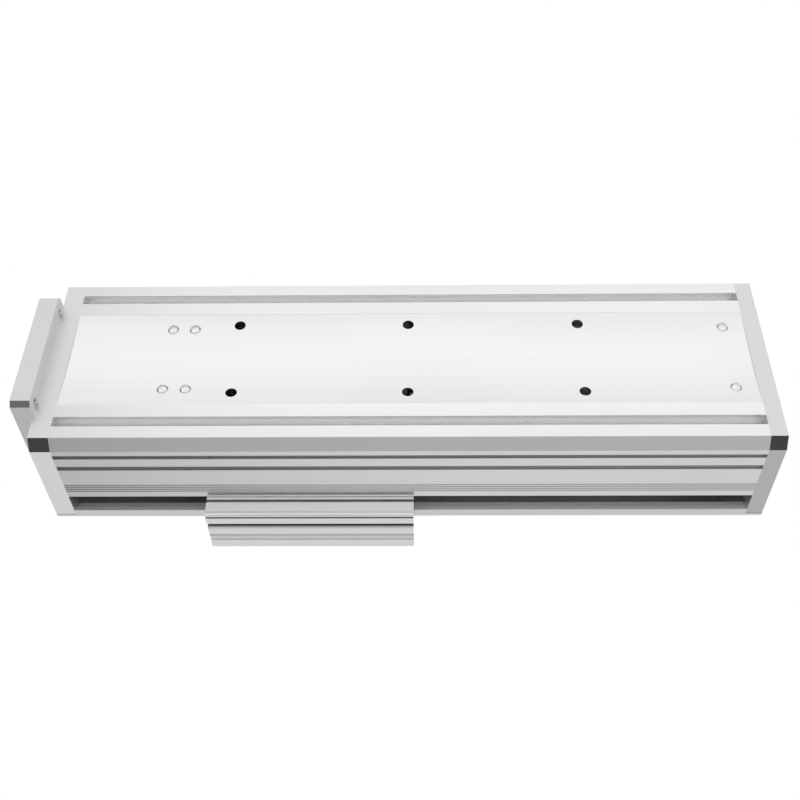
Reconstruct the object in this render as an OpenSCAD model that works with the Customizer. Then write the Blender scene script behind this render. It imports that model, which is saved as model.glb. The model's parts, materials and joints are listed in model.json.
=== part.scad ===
// Ball screw linear module: an extruded base with two end plates, a covered ball screw between
// two rail guides, and a wide carriage whose wings leave the housing through slots on both sides.
//
// Frame: X runs along the stroke, away from the motor end. Z = 0 is the mounting face and +Z
// points at the carriage table. The origin is the middle of the mounting hole pattern.
// The carriage is drawn at the motor end of its stroke.

/* [Body] */
// Width of the base extrusion over its side walls
body_w = 125; // [120:0.5:140]
// Length of the base extrusion between the end plates
body_len = 395; // [390:1:600]
// Height of the side walls above the mounting face
wall_h = 50.6; // [49:0.1:56]
// Thickness of a side wall above the rail seats
wall_t = 3; // [2.5:0.1:4]
// Thickness of the floor between the rail seats
floor_t = 8; // [7.5:0.1:8.5]
// Width of the bevel along the lower edges
bevel_w = 4; // [2:0.1:6]
// Height of the bevel along the lower edges
bevel_h = 7.8; // [4:0.1:9]

/* [Mounting face] */
// Width of the dished recess in the mounting face
recess_w = 69.4; // [60:0.2:76]
// Height of the step at the edges of the recess
recess_step = 0.1; // [0.1:0.1:0.6]
// How much deeper the middle of the recess is than its edges
recess_dish = 1.2; // [0.4:0.1:1.4]
// Distance of each T-slot from the middle
tslot_y = 47.2; // [46:0.1:48.5]
// Width of the T-slot mouth
tslot_mouth = 6.5; // [5:0.1:8]
// Width of the T-slot chamber
tslot_chamber_w = 11.4; // [9:0.1:12]
// Thickness of the T-slot lips
tslot_lip = 2.4; // [2:0.1:3]
// Depth of the T-slot
tslot_depth = 7.8; // [7:0.1:8.5]
// Diameter of the mounting holes
mount_hole_d = 6.6; // [5.5:0.1:7]
// Spacing of the mounting holes along the body
mount_pitch_x = 100; // [80:1:110]
// Spacing of the mounting holes across the body
mount_pitch_y = 52; // [50:0.5:52]
// Diameter of the pocket that sinks a mounting screw's head into the floor
mount_pocket_d = 10.5; // [10:0.1:11]
// Depth of that pocket
mount_pocket_depth = 4; // [3:0.5:5]

/* [Side wall] */
// Height of the lower edge of the narrow side groove
low_groove_z = 11.5; // [10:0.1:12]
// Width of the narrow side groove
low_groove_w = 3.1; // [2:0.1:4]
// Height of the lower edge of the wider side groove
mid_groove_z = 21.5; // [20:0.1:23]
// Width of the wider side groove
mid_groove_w = 3.6; // [3:0.1:5]
// Depth of the side grooves
side_groove_depth = 2.2; // [1:0.1:2.6]
// Height of the lowest fine line in the side wall
fine_line_z = 39.2; // [37:0.1:40]
// Spacing of the fine lines
fine_line_pitch = 2; // [1.5:0.1:2.5]
// Width of a fine line
fine_line_w = 0.7; // [0.4:0.1:1]

/* [End plates and cover] */
// Thickness of the end plate at the motor end
motor_plate_t = 11.5; // [10:0.5:15]
// Thickness of the end plate at the far end
far_plate_t = 9.5; // [8:0.5:14]
// Height of both end plates
plate_h = 69; // [67:0.5:74]
// Thickness of the cover sheet
cover_t = 2; // [1.5:0.1:3]
// Height of the lips that hang from the cover's side edges
cover_lip_h = 4.1; // [3:0.1:5]
// Thickness of the cover's lips
cover_lip_t = 3; // [2:0.1:4]

/* [Motor flange] */
// Side of the square motor flange
flange_w = 85; // [84:0.5:90]
// Thickness of the motor flange
flange_t = 11.5; // [10:0.5:14]
// Size of the bevel on the flange's corners
flange_bevel = 3; // [1:0.5:3]
// Diameter of the pilot recess that centres the motor
pilot_d = 73; // [71:0.5:74]
// Depth of the pilot recess
pilot_depth = 3; // [2:0.5:4]
// Diameter of the opening for the coupling
coupling_opening_d = 48; // [44:0.5:48.5]
// Spacing of the motor's screw holes, along both sides of the square
motor_pitch = 69.6; // [69:0.1:70]
// Drilled diameter of the motor's tapped screw holes
motor_hole_d = 5; // [4.2:0.1:5.2]

/* [Ball screw] */
// Height of the screw's axis above the top of the floor
axis_rise = 25; // [24.5:0.1:25.5]
// Outer diameter of the ball screw
screw_d = 16; // [15:0.5:16]
// Diameter of the fixed end's journal
fixed_journal_d = 12; // [11:0.5:12]
// Diameter of the floating end's journal, and of the driven end
end_journal_d = 10; // [9:0.5:10]
// Outer diameter of the ball nut's body
nut_d = 28; // [27:0.5:29]
// Length of the ball nut behind its flange
nut_body_len = 47; // [42:1:50]
// Metal left beside the head pockets in the nut's flange
nut_rim = 0.3; // [0.2:0.1:0.6]
// Thickness of the ball nut's flange
nut_flange_t = 10; // [8:0.5:12]
// Distance between the two flats of the nut's flange
nut_flats = 40; // [38:0.5:40]

/* [Bearing supports] */
// Distance from the motor end of the base to the middle of the fixed support
fixed_x = 64.5; // [62.5:0.5:66.5]
// Length of the fixed support
fixed_len = 25; // [24:0.5:27]
// Distance from the far end of the base to the middle of the floating support
float_x = 12.5; // [11.5:0.5:17.5]
// Length of the floating support
float_len = 20; // [19:0.5:21]
// Width of a support's foot
support_w = 60; // [58:0.5:61]
// Height of a support's foot
support_foot_h = 32.5; // [30:0.5:34]
// Width of a support's upper part
support_top_w = 34; // [34:0.5:38]
// Height of a support
support_h = 43; // [42:0.5:43]
// Spacing of the support's screws across the body
support_pitch_y = 46; // [45:0.5:47]
// Spacing of the fixed support's screws along the body
support_pitch_x = 13; // [12:0.5:14]
// Diameter of the support's screws
support_screw_d = 6; // [5:0.5:6]

/* [Guides] */
// Width of a rail
rail_w = 15; // [14:0.5:15]
// Height of a rail
rail_h = 12.5; // [12:0.5:13]
// Length of base that stays free at each end of a rail
rail_end = 2.5; // [2.5:0.5:4.5]
// Spacing of the rail's screws
rail_pitch = 60; // [55:1:62]
// Width of a guide block
block_w = 34; // [33:0.5:35]
// Height from the rail seat to the top of a guide block
guide_h = 24; // [23:0.5:25]
// Length of a guide block's steel body
block_len = 39.8; // [36:0.1:40]
// Length of the cap at each end of a guide block
block_cap_len = 7; // [5:0.5:7]
// Thickness of the seal on each cap
block_seal_t = 1.5; // [1:0.1:1.5]
// Spacing of a guide block's four screws
block_pitch = 26; // [24:0.5:27]

/* [Carriage] */
// Length of the carriage
carriage_len = 120; // [118:1:130]
// How far each wing stands out past the side of the housing
wing_overhang = 12.5; // [12:0.5:17]
// Thickness of the saddle plate
saddle_t = 8.9; // [8.5:0.1:9.5]
// Thickness of the table plate
table_t = 13; // [12:0.5:16]
// Spacing of the table's tapped holes along the stroke
table_pitch_x = 90; // [60:1:95]
// Spacing of the table's tapped holes across the stroke
table_pitch_y = 100; // [80:1:105]
// Drilled diameter of the table's tapped holes
table_hole_d = 5; // [4.2:0.1:5.2]
// Thickness of the rubber stop buffers
buffer_t = 3; // [2:0.5:4]

/* [Coupling] */
// Outer diameter of the shaft coupling
coupling_d = 38; // [34:0.5:38]
// Length of one coupling hub
hub_len = 17; // [16:0.5:17]
// Room between the two hubs, taken up by the jaws and the spider
jaw_room = 11; // [10:0.5:12]
// Diameter of the motor shaft that the coupling takes
motor_shaft_d = 14; // [11:0.5:14]

/* [Clearances] */
// Gap between the side walls and the carriage wings above them
wing_gap = 1; // [0.5:0.1:1.5]
// Gap between the side of the cover and the spacers that pass it
spacer_gap = 1.5; // [1:0.1:2]
// Gap between the cover and the table plate
table_gap = 1.1; // [0.5:0.1:2]
// Gap between a guide block and the side wall
block_gap = 0.5; // [0.3:0.1:0.8]
// Gap between the nut housing and the guide blocks beside it
housing_gap = 1; // [0.5:0.1:2]
// Gap between a rail and the block that rides on it
rail_gap = 0.4; // [0.3:0.1:0.5]
// Radial gap of turning parts
running_gap = 0.05; // [0.02:0.01:0.08]
// Radial gap round a screw's thread and round pieces pushed together
fit_gap = 0.05; // [0.02:0.01:0.1]
// Gap left between the carriage and its stop buffers at the end of the stroke
rest_gap = 0.5; // [0.3:0.1:1]

/* [Hidden] */
$fn = 64;
e = 0.1; // how far a cutter reaches past the face it opens

// Heights, from the mounting face up
axis_z = floor_t + axis_rise;
saddle_z = wall_h + wing_gap;
saddle_top = saddle_z + saddle_t;
seat_z = saddle_z - guide_h;
cover_z = plate_h;
cover_top = cover_z + cover_t;
table_z = cover_top + table_gap;
table_top = table_z + table_t;

// Places across the body
dish_r = (pow(recess_w / 2, 2) + pow(recess_dish, 2)) / (2 * recess_dish);
inner_y = body_w / 2 - wall_t;
rail_y = inner_y - block_gap - block_w / 2;
seat_margin = 2.5;
seat_y = rail_y - rail_w / 2 - seat_margin;
carriage_w = body_w + 2 * wing_overhang;
spacer_w = wing_overhang - spacer_gap;
spacer_step = 2.4;
port_d = 5;
port_z = 16;
port_out_y = inner_y - 3.7;
port_in_y = seat_y + 4.6;
hollow_z = tslot_depth + 4.2;
hollow_h = 7;
hollow_in_y = port_in_y + 4.4;
hollow_out_y = port_out_y - 4.3;

// Places along the body
rail_len = body_len - 2 * rail_end;
motor_face = -body_len / 2 - motor_plate_t;
far_face = body_len / 2 + far_plate_t;
flange_face = motor_face - flange_t;
fixed_mid = -body_len / 2 + fixed_x;
float_mid = body_len / 2 - float_x;
fixed_drive_face = fixed_mid - fixed_len / 2;
fixed_screw_face = fixed_mid + fixed_len / 2;
float_near_face = float_mid - float_len / 2;
fixed_screw_dx = [-support_pitch_x / 2, support_pitch_x / 2];
carriage_x = fixed_screw_face + buffer_t + rest_gap + carriage_len / 2;

// Bearings: [bore, outer diameter, width]
fixed_bearing_d = 28;
fixed_bearing_w = 8;
fixed_bearing = [fixed_journal_d, fixed_bearing_d, fixed_bearing_w];
float_bearing_d = 26;
float_bearing_w = 8;
float_bearing = [end_journal_d, float_bearing_d, float_bearing_w];
ball_d = 4.76;
ball_gap = 0.07;
spigot_len = 4;
lid_t = 5;
lid_w = support_top_w;
lid_screw_depth = 9;
lid_screw_margin = 4;
lid_screw_sink = 3;
seal_bore_d = 21;
collar_d = 17;
pair_x = fixed_drive_face + spigot_len;
pair_pitch = fixed_bearing[2] + fit_gap;
pair_end = pair_x + pair_pitch + fixed_bearing[2];
collar_end = fixed_screw_face + buffer_t;
drive_collar_len = spigot_len + lid_t + 2;
lock_nut_len = 8;
lock_nut_flats = 19;
lock_nut_x = pair_x - drive_collar_len - lock_nut_len;
float_bearing_in = 6;
float_bearing_x = float_near_face + float_bearing_in;
circlip_t = 1.1;
circlip_groove_d = end_journal_d - 0.4;
circlip_x = float_bearing_x + float_bearing[2];
float_tail = 2.4;
hub_gap = 1.5;
screw_hub_x = lock_nut_x - hub_gap - hub_len;
motor_hub_x = screw_hub_x - jaw_room - hub_len;

// Ball nut and its housing
housing_len = 40;
housing_w = 2 * (rail_y - block_w / 2 - housing_gap);
housing_x = carriage_x - housing_len / 2;
housing_drop = 19;
nut_face = carriage_x + housing_len / 2;
wiper_d = 24;
wiper_t = 3;

// Screws: [thread diameter, head diameter, head height, key size, clearance hole, head pocket]
m4 = [4, 7, 4, 3, 4.5, 7.6];
m5 = [5, 8.5, 5, 4, 5.5, 9.4];
m6 = [support_screw_d, 10, 6, 5, support_screw_d + 0.6, 10.8];
head_sink = 0.4;
hole_break = 0.4;
port_screw_grip = 14;
flange_screw_r = 30;
nut_pcd = nut_d + m5[5] + 2 * nut_rim;
nut_flange_d = nut_pcd + m5[5] + 2 * nut_rim;
plate_screw_y = [-port_out_y, -port_in_y, port_in_y, port_out_y];
cover_screw_margin = 11.5;
cover_screw_out = inner_y - cover_screw_margin;
cover_screw_y = [-cover_screw_out, 0, cover_screw_out];
cover_screw_len = 10;
countersink_d = 8;
rail_waist = 1.9;
rail_bevel = 0.8;
rail_screw_margin = 8;
rail_screw_half = floor((body_len / 2 - rail_screw_margin) / rail_pitch);
rail_screw_x = [-rail_screw_half:rail_screw_half];
rail_pocket_depth = 5.3;
rail_screw_grip = 8;
plug_t = rail_pocket_depth - m4[2];
block_mid = block_len / 2 + block_cap_len + block_seal_t;
block_margin = 1.6;
block_x = carriage_len / 2 - block_margin - block_mid;
block_low = 4.5;
block_screw_grip = 5.5;
table_screw_y = (carriage_w - spacer_w - spacer_step) / 2;
table_screw_pitch = 32;
table_screw_x = [for (i = [-1.5:1.5]) i * table_screw_pitch];
table_screw_grip = 7;
housing_screw_x = housing_len / 2 - 6;
housing_screw_y = housing_w / 2 - 4.5;
nut_screw_angles = [-45, 0, 45, 135, 180, 225];
nut_screw_grip = 9;
housing_screw_grip = 9.5;
relief_gap = 0.6;
relief_depth = axis_z + nut_flats / 2 - saddle_z + relief_gap;
relief_w = 2 * (sqrt(pow(nut_flange_d / 2, 2) - pow(saddle_z - axis_z, 2)) + 3 * relief_gap);
stop_lug_w = 32;
stop_lug_len = 8;
stop_lug_drop = 8.4;
buffer_d = 7.6;
buffer_y = 9;
buffer_z = floor_t + support_h - 4.6;

// ---- Shared shapes ----

// Turns a shape built along Z so that it runs along +X
module along_x() { rotate([0, 90, 0]) children(); }

// A straight bar along X with a section drawn in (Y, Z)
module bar(x, length) {
  translate([x, 0, 0]) rotate([90, 0, 90]) linear_extrude(length) children();
}

// The outline and its mirror image across the middle plane
module both_sides() {
  children();
  mirror([1, 0]) children();
}

// A shaft step, collar or ring on the screw's axis
module turned(x, length, d, bore = 0) {
  translate([x, 0, axis_z]) along_x() difference() {
    cylinder(h = length, d = d);
    if (bore > 0) translate([0, 0, -e]) cylinder(h = length + 2 * e, d = bore);
  }
}

// A socket head screw: shank down from z = 0, head above it
module cap_screw(size, grip) {
  difference() {
    union() {
      translate([0, 0, -grip]) cylinder(h = grip + e, d = size[0]);
      cylinder(h = size[2], d = size[1]);
    }
    translate([0, 0, size[2] * 0.45]) cylinder(h = size[2], d = size[3] * 1.155, $fn = 6);
  }
}

// The hole that a cap_screw needs: tapped down from z = 0 by grip, clear for through,
// then a pocket for the head. The head's seat is at z = through.
module screw_hole(size, grip, through, pocket) {
  translate([0, 0, -grip - head_sink]) cylinder(h = grip + head_sink + e, d = size[0] + 2 * fit_gap);
  if (through > 0) cylinder(h = through + e, d = size[4]);
  if (pocket > 0) translate([0, 0, through]) cylinder(h = pocket, d = size[5]);
}

// Places its children at the four corners of a rectangle
module at_corners(dx, dy) {
  for (sx = [-1, 1], sy = [-1, 1]) translate([sx * dx / 2, sy * dy / 2, 0]) children();
}

// Outline of the base and of the end plates: a rectangle with bevelled lower corners
module plate_outline(h) {
  w = body_w / 2;
  polygon([[-w + bevel_w, 0], [w - bevel_w, 0], [w, bevel_h], [w, h], [-w, h], [-w, bevel_h]]);
}

// ---- Base ----

module tslot_section() {
  translate([tslot_y - tslot_mouth / 2, -e]) square([tslot_mouth, tslot_depth]);
  translate([tslot_y - tslot_chamber_w / 2, tslot_lip])
    square([tslot_chamber_w, tslot_depth - tslot_lip]);
}

module side_groove_section() {
  wall = body_w / 2;
  for (g = [[low_groove_z, low_groove_w], [mid_groove_z, mid_groove_w]])
    translate([wall - side_groove_depth, g[0]]) square([side_groove_depth + e, g[1]]);
  for (i = [0:3]) {
    z = fine_line_z + i * fine_line_pitch;
    polygon([[wall + e, z], [wall - fine_line_w / 2, z + fine_line_w / 2], [wall + e, z + fine_line_w]]);
  }
}

// Height of the recess above the mounting face, at a distance y from the middle
function recess_z(y) = recess_step + recess_dish - dish_r + sqrt(pow(dish_r, 2) - pow(y, 2));

module recess_section() {
  translate([-recess_w / 2, -e]) square([recess_w, recess_step + e]);
  intersection() {
    translate([0, recess_step + recess_dish - dish_r]) circle(r = dish_r, $fn = 720);
    translate([-recess_w / 2, 0]) square([recess_w, floor_t]);
  }
}

module base_section() {
  difference() {
    plate_outline(wall_h);
    both_sides() {
      translate([-e, floor_t]) square([seat_y + e, wall_h]);
      translate([seat_y - e, seat_z]) square([inner_y - seat_y + e, wall_h]);
      tslot_section();
      side_groove_section();
      translate([hollow_in_y, hollow_z]) square([hollow_out_y - hollow_in_y, hollow_h]);
    }
    recess_section();
  }
}

// A tapped hole through the floor, with its mouth broken in the mounting face
module support_tapped_hole() {
  tapped = support_screw_d + 2 * fit_gap;
  mouth = recess_z(support_pitch_y / 2) + e;
  cylinder(h = floor_t + 2 * e, d = tapped);
  cylinder(h = mouth, d = tapped + 2 * hole_break);
  translate([0, 0, mouth]) cylinder(h = hole_break, d1 = tapped + 2 * hole_break, d2 = tapped);
}

module base_holes() {
  for (i = [-1:1], s = [-1, 1]) translate([i * mount_pitch_x, s * mount_pitch_y / 2, -e]) {
    cylinder(h = floor_t + 2 * e, d = mount_hole_d);
    translate([0, 0, floor_t - mount_pocket_depth + e])
      cylinder(h = mount_pocket_depth + e, d = mount_pocket_d);
  }
  at_support_screws(fixed_mid, fixed_screw_dx, -e) support_tapped_hole();
  at_support_screws(float_mid, [0], -e) support_tapped_hole();
  for (i = rail_screw_x, s = [-1, 1])
    translate([i * rail_pitch, s * rail_y, seat_z]) screw_hole(m4, rail_screw_grip, 0, 0);
  for (y = plate_screw_y, s = [-1, 1]) translate([s * body_len / 2, y, port_z]) along_x()
    translate([0, 0, -port_screw_grip - e])
      cylinder(h = 2 * (port_screw_grip + e), d = port_d + 2 * fit_gap);
}

module base_extrusion() {
  color("gainsboro") difference() {
    bar(-body_len / 2, body_len) base_section();
    base_holes();
  }
}

// ---- End plates, cover and motor flange ----

// Places its children at the screws that hold an end plate, with +Z pointing out of the body
module at_plate_screws(side, seat) {
  for (y = plate_screw_y) translate([side * seat, y, port_z]) rotate([0, side * 90, 0]) children();
}

module end_plate(x, t, side) {
  head_seat = t - m5[2] - head_sink;
  difference() {
    bar(x, t) plate_outline(plate_h);
    at_plate_screws(side, body_len / 2) screw_hole(m5, 0, head_seat, t);
    at_plate_screws(side, body_len / 2) translate([0, 0, -e]) cylinder(h = t, d = m5[4]);
    for (y = cover_screw_y) translate([x + t / 2, y, cover_z])
      translate([0, 0, -cover_screw_len]) cylinder(h = cover_screw_len + e, d = m4[0] + 2 * fit_gap);
  }
}

module motor_end_plate() {
  color("lightgray") difference() {
    end_plate(motor_face, motor_plate_t, -1);
    turned(motor_face - e, motor_plate_t + 2 * e, coupling_opening_d);
    at_flange_screws(motor_face)
      translate([0, 0, -motor_plate_t - e]) cylinder(h = motor_plate_t + 2 * e, d = m5[0] + 2 * fit_gap);
  }
}

module far_end_plate() {
  color("lightgray") end_plate(body_len / 2, far_plate_t, 1);
}

// Places its children on the screws that hold the motor flange, with +Z pointing at the motor
module at_flange_screws(x) {
  for (a = [45, 135, 225, 315]) translate([x, 0, axis_z]) rotate([a, 0, 0])
    translate([0, flange_screw_r, 0]) rotate([0, -90, 0]) children();
}

module flange_outline() {
  w = flange_w / 2;
  c = w - flange_bevel;
  translate([0, axis_z])
    polygon([[-c, -w], [c, -w], [w, -c], [w, c], [c, w], [-c, w], [-w, c], [-w, -c]]);
}

module motor_flange() {
  web = flange_t - pilot_depth;
  color("lightgray") difference() {
    bar(flange_face, flange_t) flange_outline();
    turned(flange_face - e, flange_t + 2 * e, coupling_opening_d);
    turned(flange_face - e, pilot_depth + e, pilot_d);
    translate([flange_face - e, 0, axis_z]) along_x() at_corners(motor_pitch, motor_pitch)
      cylinder(h = flange_t + 2 * e, d = motor_hole_d);
    at_flange_screws(motor_face) translate([0, 0, -e])
      screw_hole(m5, 0, web - m5[2] - head_sink + e, web);
    at_flange_screws(motor_face) translate([0, 0, -e]) cylinder(h = web, d = m5[4]);
  }
}

module top_cover() {
  w = body_w / 2;
  color("gainsboro") difference() {
    union() {
      bar(motor_face, far_face - motor_face)
        translate([-w, cover_z]) square([body_w, cover_t]);
      bar(-body_len / 2, body_len) both_sides()
        translate([w - cover_lip_t, cover_z - cover_lip_h]) square([cover_lip_t, cover_lip_h + e]);
    }
    at_cover_screws() translate([0, 0, -cover_t - e]) cylinder(h = cover_t + 2 * e, d = m4[4]);
    at_cover_screws() translate([0, 0, -cover_t])
      cylinder(h = cover_t, d1 = m4[4], d2 = countersink_d);
  }
}

module at_cover_screws() {
  for (x = [motor_face + motor_plate_t / 2, far_face - far_plate_t / 2], y = cover_screw_y)
    translate([x, y, cover_top]) children();
}

module cover_screws() {
  color("silver") at_cover_screws() difference() {
    union() {
      translate([0, 0, -cover_screw_len]) cylinder(h = cover_screw_len - cover_t + e, d = m4[0]);
      translate([0, 0, -cover_t]) cylinder(h = cover_t, d1 = m4[0], d2 = countersink_d - 2 * fit_gap);
    }
    translate([0, 0, -1.6]) cylinder(h = 2, d = 2.9, $fn = 6);
  }
}

module motor_plate_screws() {
  seat = motor_plate_t - m5[2] - head_sink;
  color("dimgray") at_plate_screws(-1, body_len / 2 + seat) cap_screw(m5, seat + port_screw_grip - 1);
}

module far_plate_screws() {
  seat = far_plate_t - m5[2] - head_sink;
  color("dimgray") at_plate_screws(1, body_len / 2 + seat) cap_screw(m5, seat + port_screw_grip - 1);
}

module motor_flange_screws() {
  seat = flange_t - pilot_depth - m5[2] - head_sink;
  color("dimgray") at_flange_screws(motor_face - seat) cap_screw(m5, seat + motor_plate_t - 1);
}

// ---- Guides ----

// Half of the rail's section: [how far in from its side, height as a share of the rail's height]
rail_points = [[0, 0], [0, 0.29], [rail_waist, 0.45], [rail_waist, 0.61], [0, 0.74], [0, 0.94],
               [rail_bevel, 1]];

function rail_side(gap) =
  [for (p = rail_points) [rail_w / 2 - p[0] + gap, p[1] * rail_h + (p[1] > 0.7 ? gap : 0)]];

module rail_section(gap = 0) {
  right = rail_side(gap);
  left = [for (i = [len(right) - 1:-1:0]) [-right[i][0], right[i][1]]];
  polygon(concat(right, left));
}

module rail(side) {
  color("silver") difference() {
    bar(-rail_len / 2, rail_len) translate([side * rail_y, seat_z]) rail_section();
    for (i = rail_screw_x) translate([i * rail_pitch, side * rail_y, seat_z]) {
      translate([0, 0, -e]) cylinder(h = rail_h, d = m4[4]);
      translate([0, 0, rail_h - rail_pocket_depth]) cylinder(h = rail_h, d = m4[5]);
    }
  }
}

module left_guide_rail() { rail(1); }
module right_guide_rail() { rail(-1); }

module at_rail_screws(z) {
  for (i = rail_screw_x, s = [-1, 1]) translate([i * rail_pitch, s * rail_y, z]) children();
}

module rail_screws() {
  seat = rail_h - rail_pocket_depth;
  color("dimgray") at_rail_screws(seat_z + seat) cap_screw(m4, seat + rail_screw_grip - 0.5);
}

module rail_hole_plugs() {
  color("black") at_rail_screws(seat_z + rail_h - plug_t)
    cylinder(h = plug_t, d = m4[5] - 2 * fit_gap);
}

// Section of a guide block or cap; shrink pulls its outside in
module block_section(shrink, gap) {
  w = block_w / 2 - shrink;
  top = guide_h - shrink;
  difference() {
    polygon([[-w, block_low + shrink], [w, block_low + shrink], [w, top - 1.5], [w - 1.5, top],
             [1.5 - w, top], [-w, top - 1.5]]);
    rail_section(gap);
    translate([-rail_w, -e]) square([2 * rail_w, block_low + e]);
  }
}

module guide_block(sx, sy) {
  x = carriage_x + sx * block_x;
  color("silver") difference() {
    bar(x - block_len / 2, block_len) translate([sy * rail_y, seat_z]) block_section(0, rail_gap);
    translate([x, sy * rail_y, saddle_z]) at_corners(block_pitch, block_pitch)
      screw_hole(m4, block_screw_grip + 0.5, 0, 0);
  }
}

module left_front_block() { guide_block(1, 1); }
module left_rear_block() { guide_block(-1, 1); }
module right_front_block() { guide_block(1, -1); }
module right_rear_block() { guide_block(-1, -1); }

// Places its children at both ends of each guide block, in the block's own section plane
module at_block_ends(offset, length) {
  for (sx = [-1, 1], sy = [-1, 1], end = [-1, 1])
    bar(carriage_x + sx * block_x + end * offset - length / 2, length)
      translate([sy * rail_y, seat_z]) children();
}

module block_end_caps() {
  color("darkgreen") at_block_ends((block_len + block_cap_len) / 2, block_cap_len)
    block_section(0.4, rail_gap);
}

module block_end_seals() {
  color("black") at_block_ends(block_mid - block_seal_t / 2, block_seal_t)
    block_section(0.8, rail_gap / 2);
}

module at_block_screws() {
  for (sx = [-1, 1], sy = [-1, 1])
    translate([carriage_x + sx * block_x, sy * rail_y, saddle_top - m4[2] - head_sink])
      at_corners(block_pitch, block_pitch) children();
}

module block_screws() {
  color("dimgray") at_block_screws() cap_screw(m4, saddle_t - m4[2] - head_sink + block_screw_grip);
}

module grease_nipples() {
  nipple_hex_d = 5.2;
  nipple_hex_len = 1.2;
  nipple_d = 3;
  nipple_len = 2.6;
  nipple_tip_len = 0.8;
  nipple_z = (seat_z + rail_h + saddle_z) / 2 - 0.25;
  color("goldenrod") for (sx = [-1, 1], sy = [-1, 1])
    translate([carriage_x + sx * (block_x + block_mid), sy * rail_y, nipple_z])
      rotate([0, sx * 90, 0]) {
        cylinder(h = nipple_hex_len, d = nipple_hex_d, $fn = 6);
        cylinder(h = nipple_len, d = nipple_d);
        translate([0, 0, nipple_len]) cylinder(h = nipple_tip_len, d1 = nipple_d, d2 = nipple_d - 1);
      }
}

// ---- Bearing supports ----

module support_outline(top_w) {
  foot = support_w / 2;
  top = top_w / 2;
  translate([0, floor_t])
    polygon([[-foot, 0], [foot, 0], [foot, support_foot_h], [top, support_foot_h],
             [top, support_h - 1], [top - 1, support_h], [1 - top, support_h],
             [-top, support_h - 1], [-top, support_foot_h], [-foot, support_foot_h]]);
}

// Places its children at the support screws: one pair across the body for each offset along it
module at_support_screws(x, offsets, z) {
  for (dx = offsets, s = [-1, 1]) translate([x + dx, s * support_pitch_y / 2, z]) children();
}

module support_screw_hole() {
  cylinder(h = support_foot_h + 2 * e, d = m6[4]);
  translate([0, 0, support_foot_h - m6[2]]) cylinder(h = m6[2] + 2 * e, d = m6[5]);
}

module fixed_support() {
  color("dimgray") difference() {
    bar(fixed_drive_face, fixed_len) support_outline(support_top_w);
    turned(fixed_drive_face - e, pair_end - fixed_drive_face + e, fixed_bearing[1]);
    turned(fixed_drive_face - e, fixed_len + 2 * e, seal_bore_d);
    at_support_screws(fixed_mid, fixed_screw_dx, floor_t - e) support_screw_hole();
    at_lid_screws(fixed_drive_face) translate([0, 0, -lid_screw_depth])
      cylinder(h = lid_screw_depth + e, d = m4[0] + 2 * fit_gap);
    at_buffers(fixed_screw_face) translate([0, 0, -2]) cylinder(h = 2 + e, d = 4 + 2 * fit_gap);
  }
}

// Places its children on the four screws of the bearing lid, with +Z pointing at the motor
module at_lid_screws(x) {
  lid_pitch = lid_w - 2 * lid_screw_margin;
  translate([x, 0, axis_z]) rotate([0, -90, 0]) at_corners(lid_pitch, lid_pitch) children();
}

module fixed_support_lid() {
  w = lid_w / 2;
  color("dimgray") difference() {
    union() {
      bar(fixed_drive_face - lid_t, lid_t) translate([-w, axis_z - w]) square([lid_w, lid_w]);
      turned(fixed_drive_face - e, spigot_len + e, fixed_bearing[1] - 2 * fit_gap);
    }
    turned(fixed_drive_face - lid_t - e, lid_t + spigot_len + 2 * e, seal_bore_d);
    at_lid_screws(fixed_drive_face) translate([0, 0, -e]) cylinder(h = lid_t + 2 * e, d = m4[4]);
    at_lid_screws(fixed_drive_face) translate([0, 0, lid_t - lid_screw_sink])
      cylinder(h = lid_screw_sink + 1, d = m4[5]);
  }
}

module fixed_lid_screws() {
  color("black") at_lid_screws(fixed_drive_face - lid_t + lid_screw_sink) cap_screw(m4, lid_screw_depth);
}

// Half of a bearing's section, radius against width: the ring between two radii, with its race
module bearing_ring(bearing, r_in, r_out) {
  pitch_r = (bearing[0] + bearing[1]) / 4;
  rotate_extrude() difference() {
    translate([r_in, 0]) square([r_out - r_in, bearing[2]]);
    translate([pitch_r, bearing[2] / 2]) circle(d = ball_d + 2 * ball_gap);
  }
}

module inner_ring(bearing) {
  pitch_r = (bearing[0] + bearing[1]) / 4;
  bearing_ring(bearing, bearing[0] / 2, pitch_r - ball_d * 0.28);
}

module outer_ring(bearing) {
  pitch_r = (bearing[0] + bearing[1]) / 4;
  bearing_ring(bearing, pitch_r + ball_d * 0.28, bearing[1] / 2);
}

module bearing_balls(bearing, count) {
  pitch_r = (bearing[0] + bearing[1]) / 4;
  for (i = [0:count - 1]) rotate(i * 360 / count)
    translate([pitch_r, 0, bearing[2] / 2]) sphere(d = ball_d);
}

module at_fixed_bearings() {
  for (i = [0, 1]) translate([pair_x + i * pair_pitch, 0, axis_z]) along_x() children();
}

module fixed_outer_rings() { color("silver") at_fixed_bearings() outer_ring(fixed_bearing); }
module fixed_inner_rings() { color("silver") at_fixed_bearings() inner_ring(fixed_bearing); }
module fixed_bearing_balls() { color("white") at_fixed_bearings() bearing_balls(fixed_bearing, 10); }

module fixed_shaft_seals() {
  seal_t = 3.5;
  color("black") for (x = [fixed_drive_face - lid_t, fixed_screw_face - seal_t])
    turned(x, seal_t, seal_bore_d, collar_d + 2 * running_gap);
}

// The screws reach through the floor and end just inside the recess in the mounting face
module support_screws(x, offsets) {
  seat = support_foot_h - m6[2];
  tip = recess_z(support_pitch_y / 2) + 0.2;
  color("silver") at_support_screws(x, offsets, floor_t + seat) cap_screw(m6, seat + floor_t - tip);
}

module fixed_support_screws() { support_screws(fixed_mid, fixed_screw_dx); }
module floating_support_screws() { support_screws(float_mid, [0]); }

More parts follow.
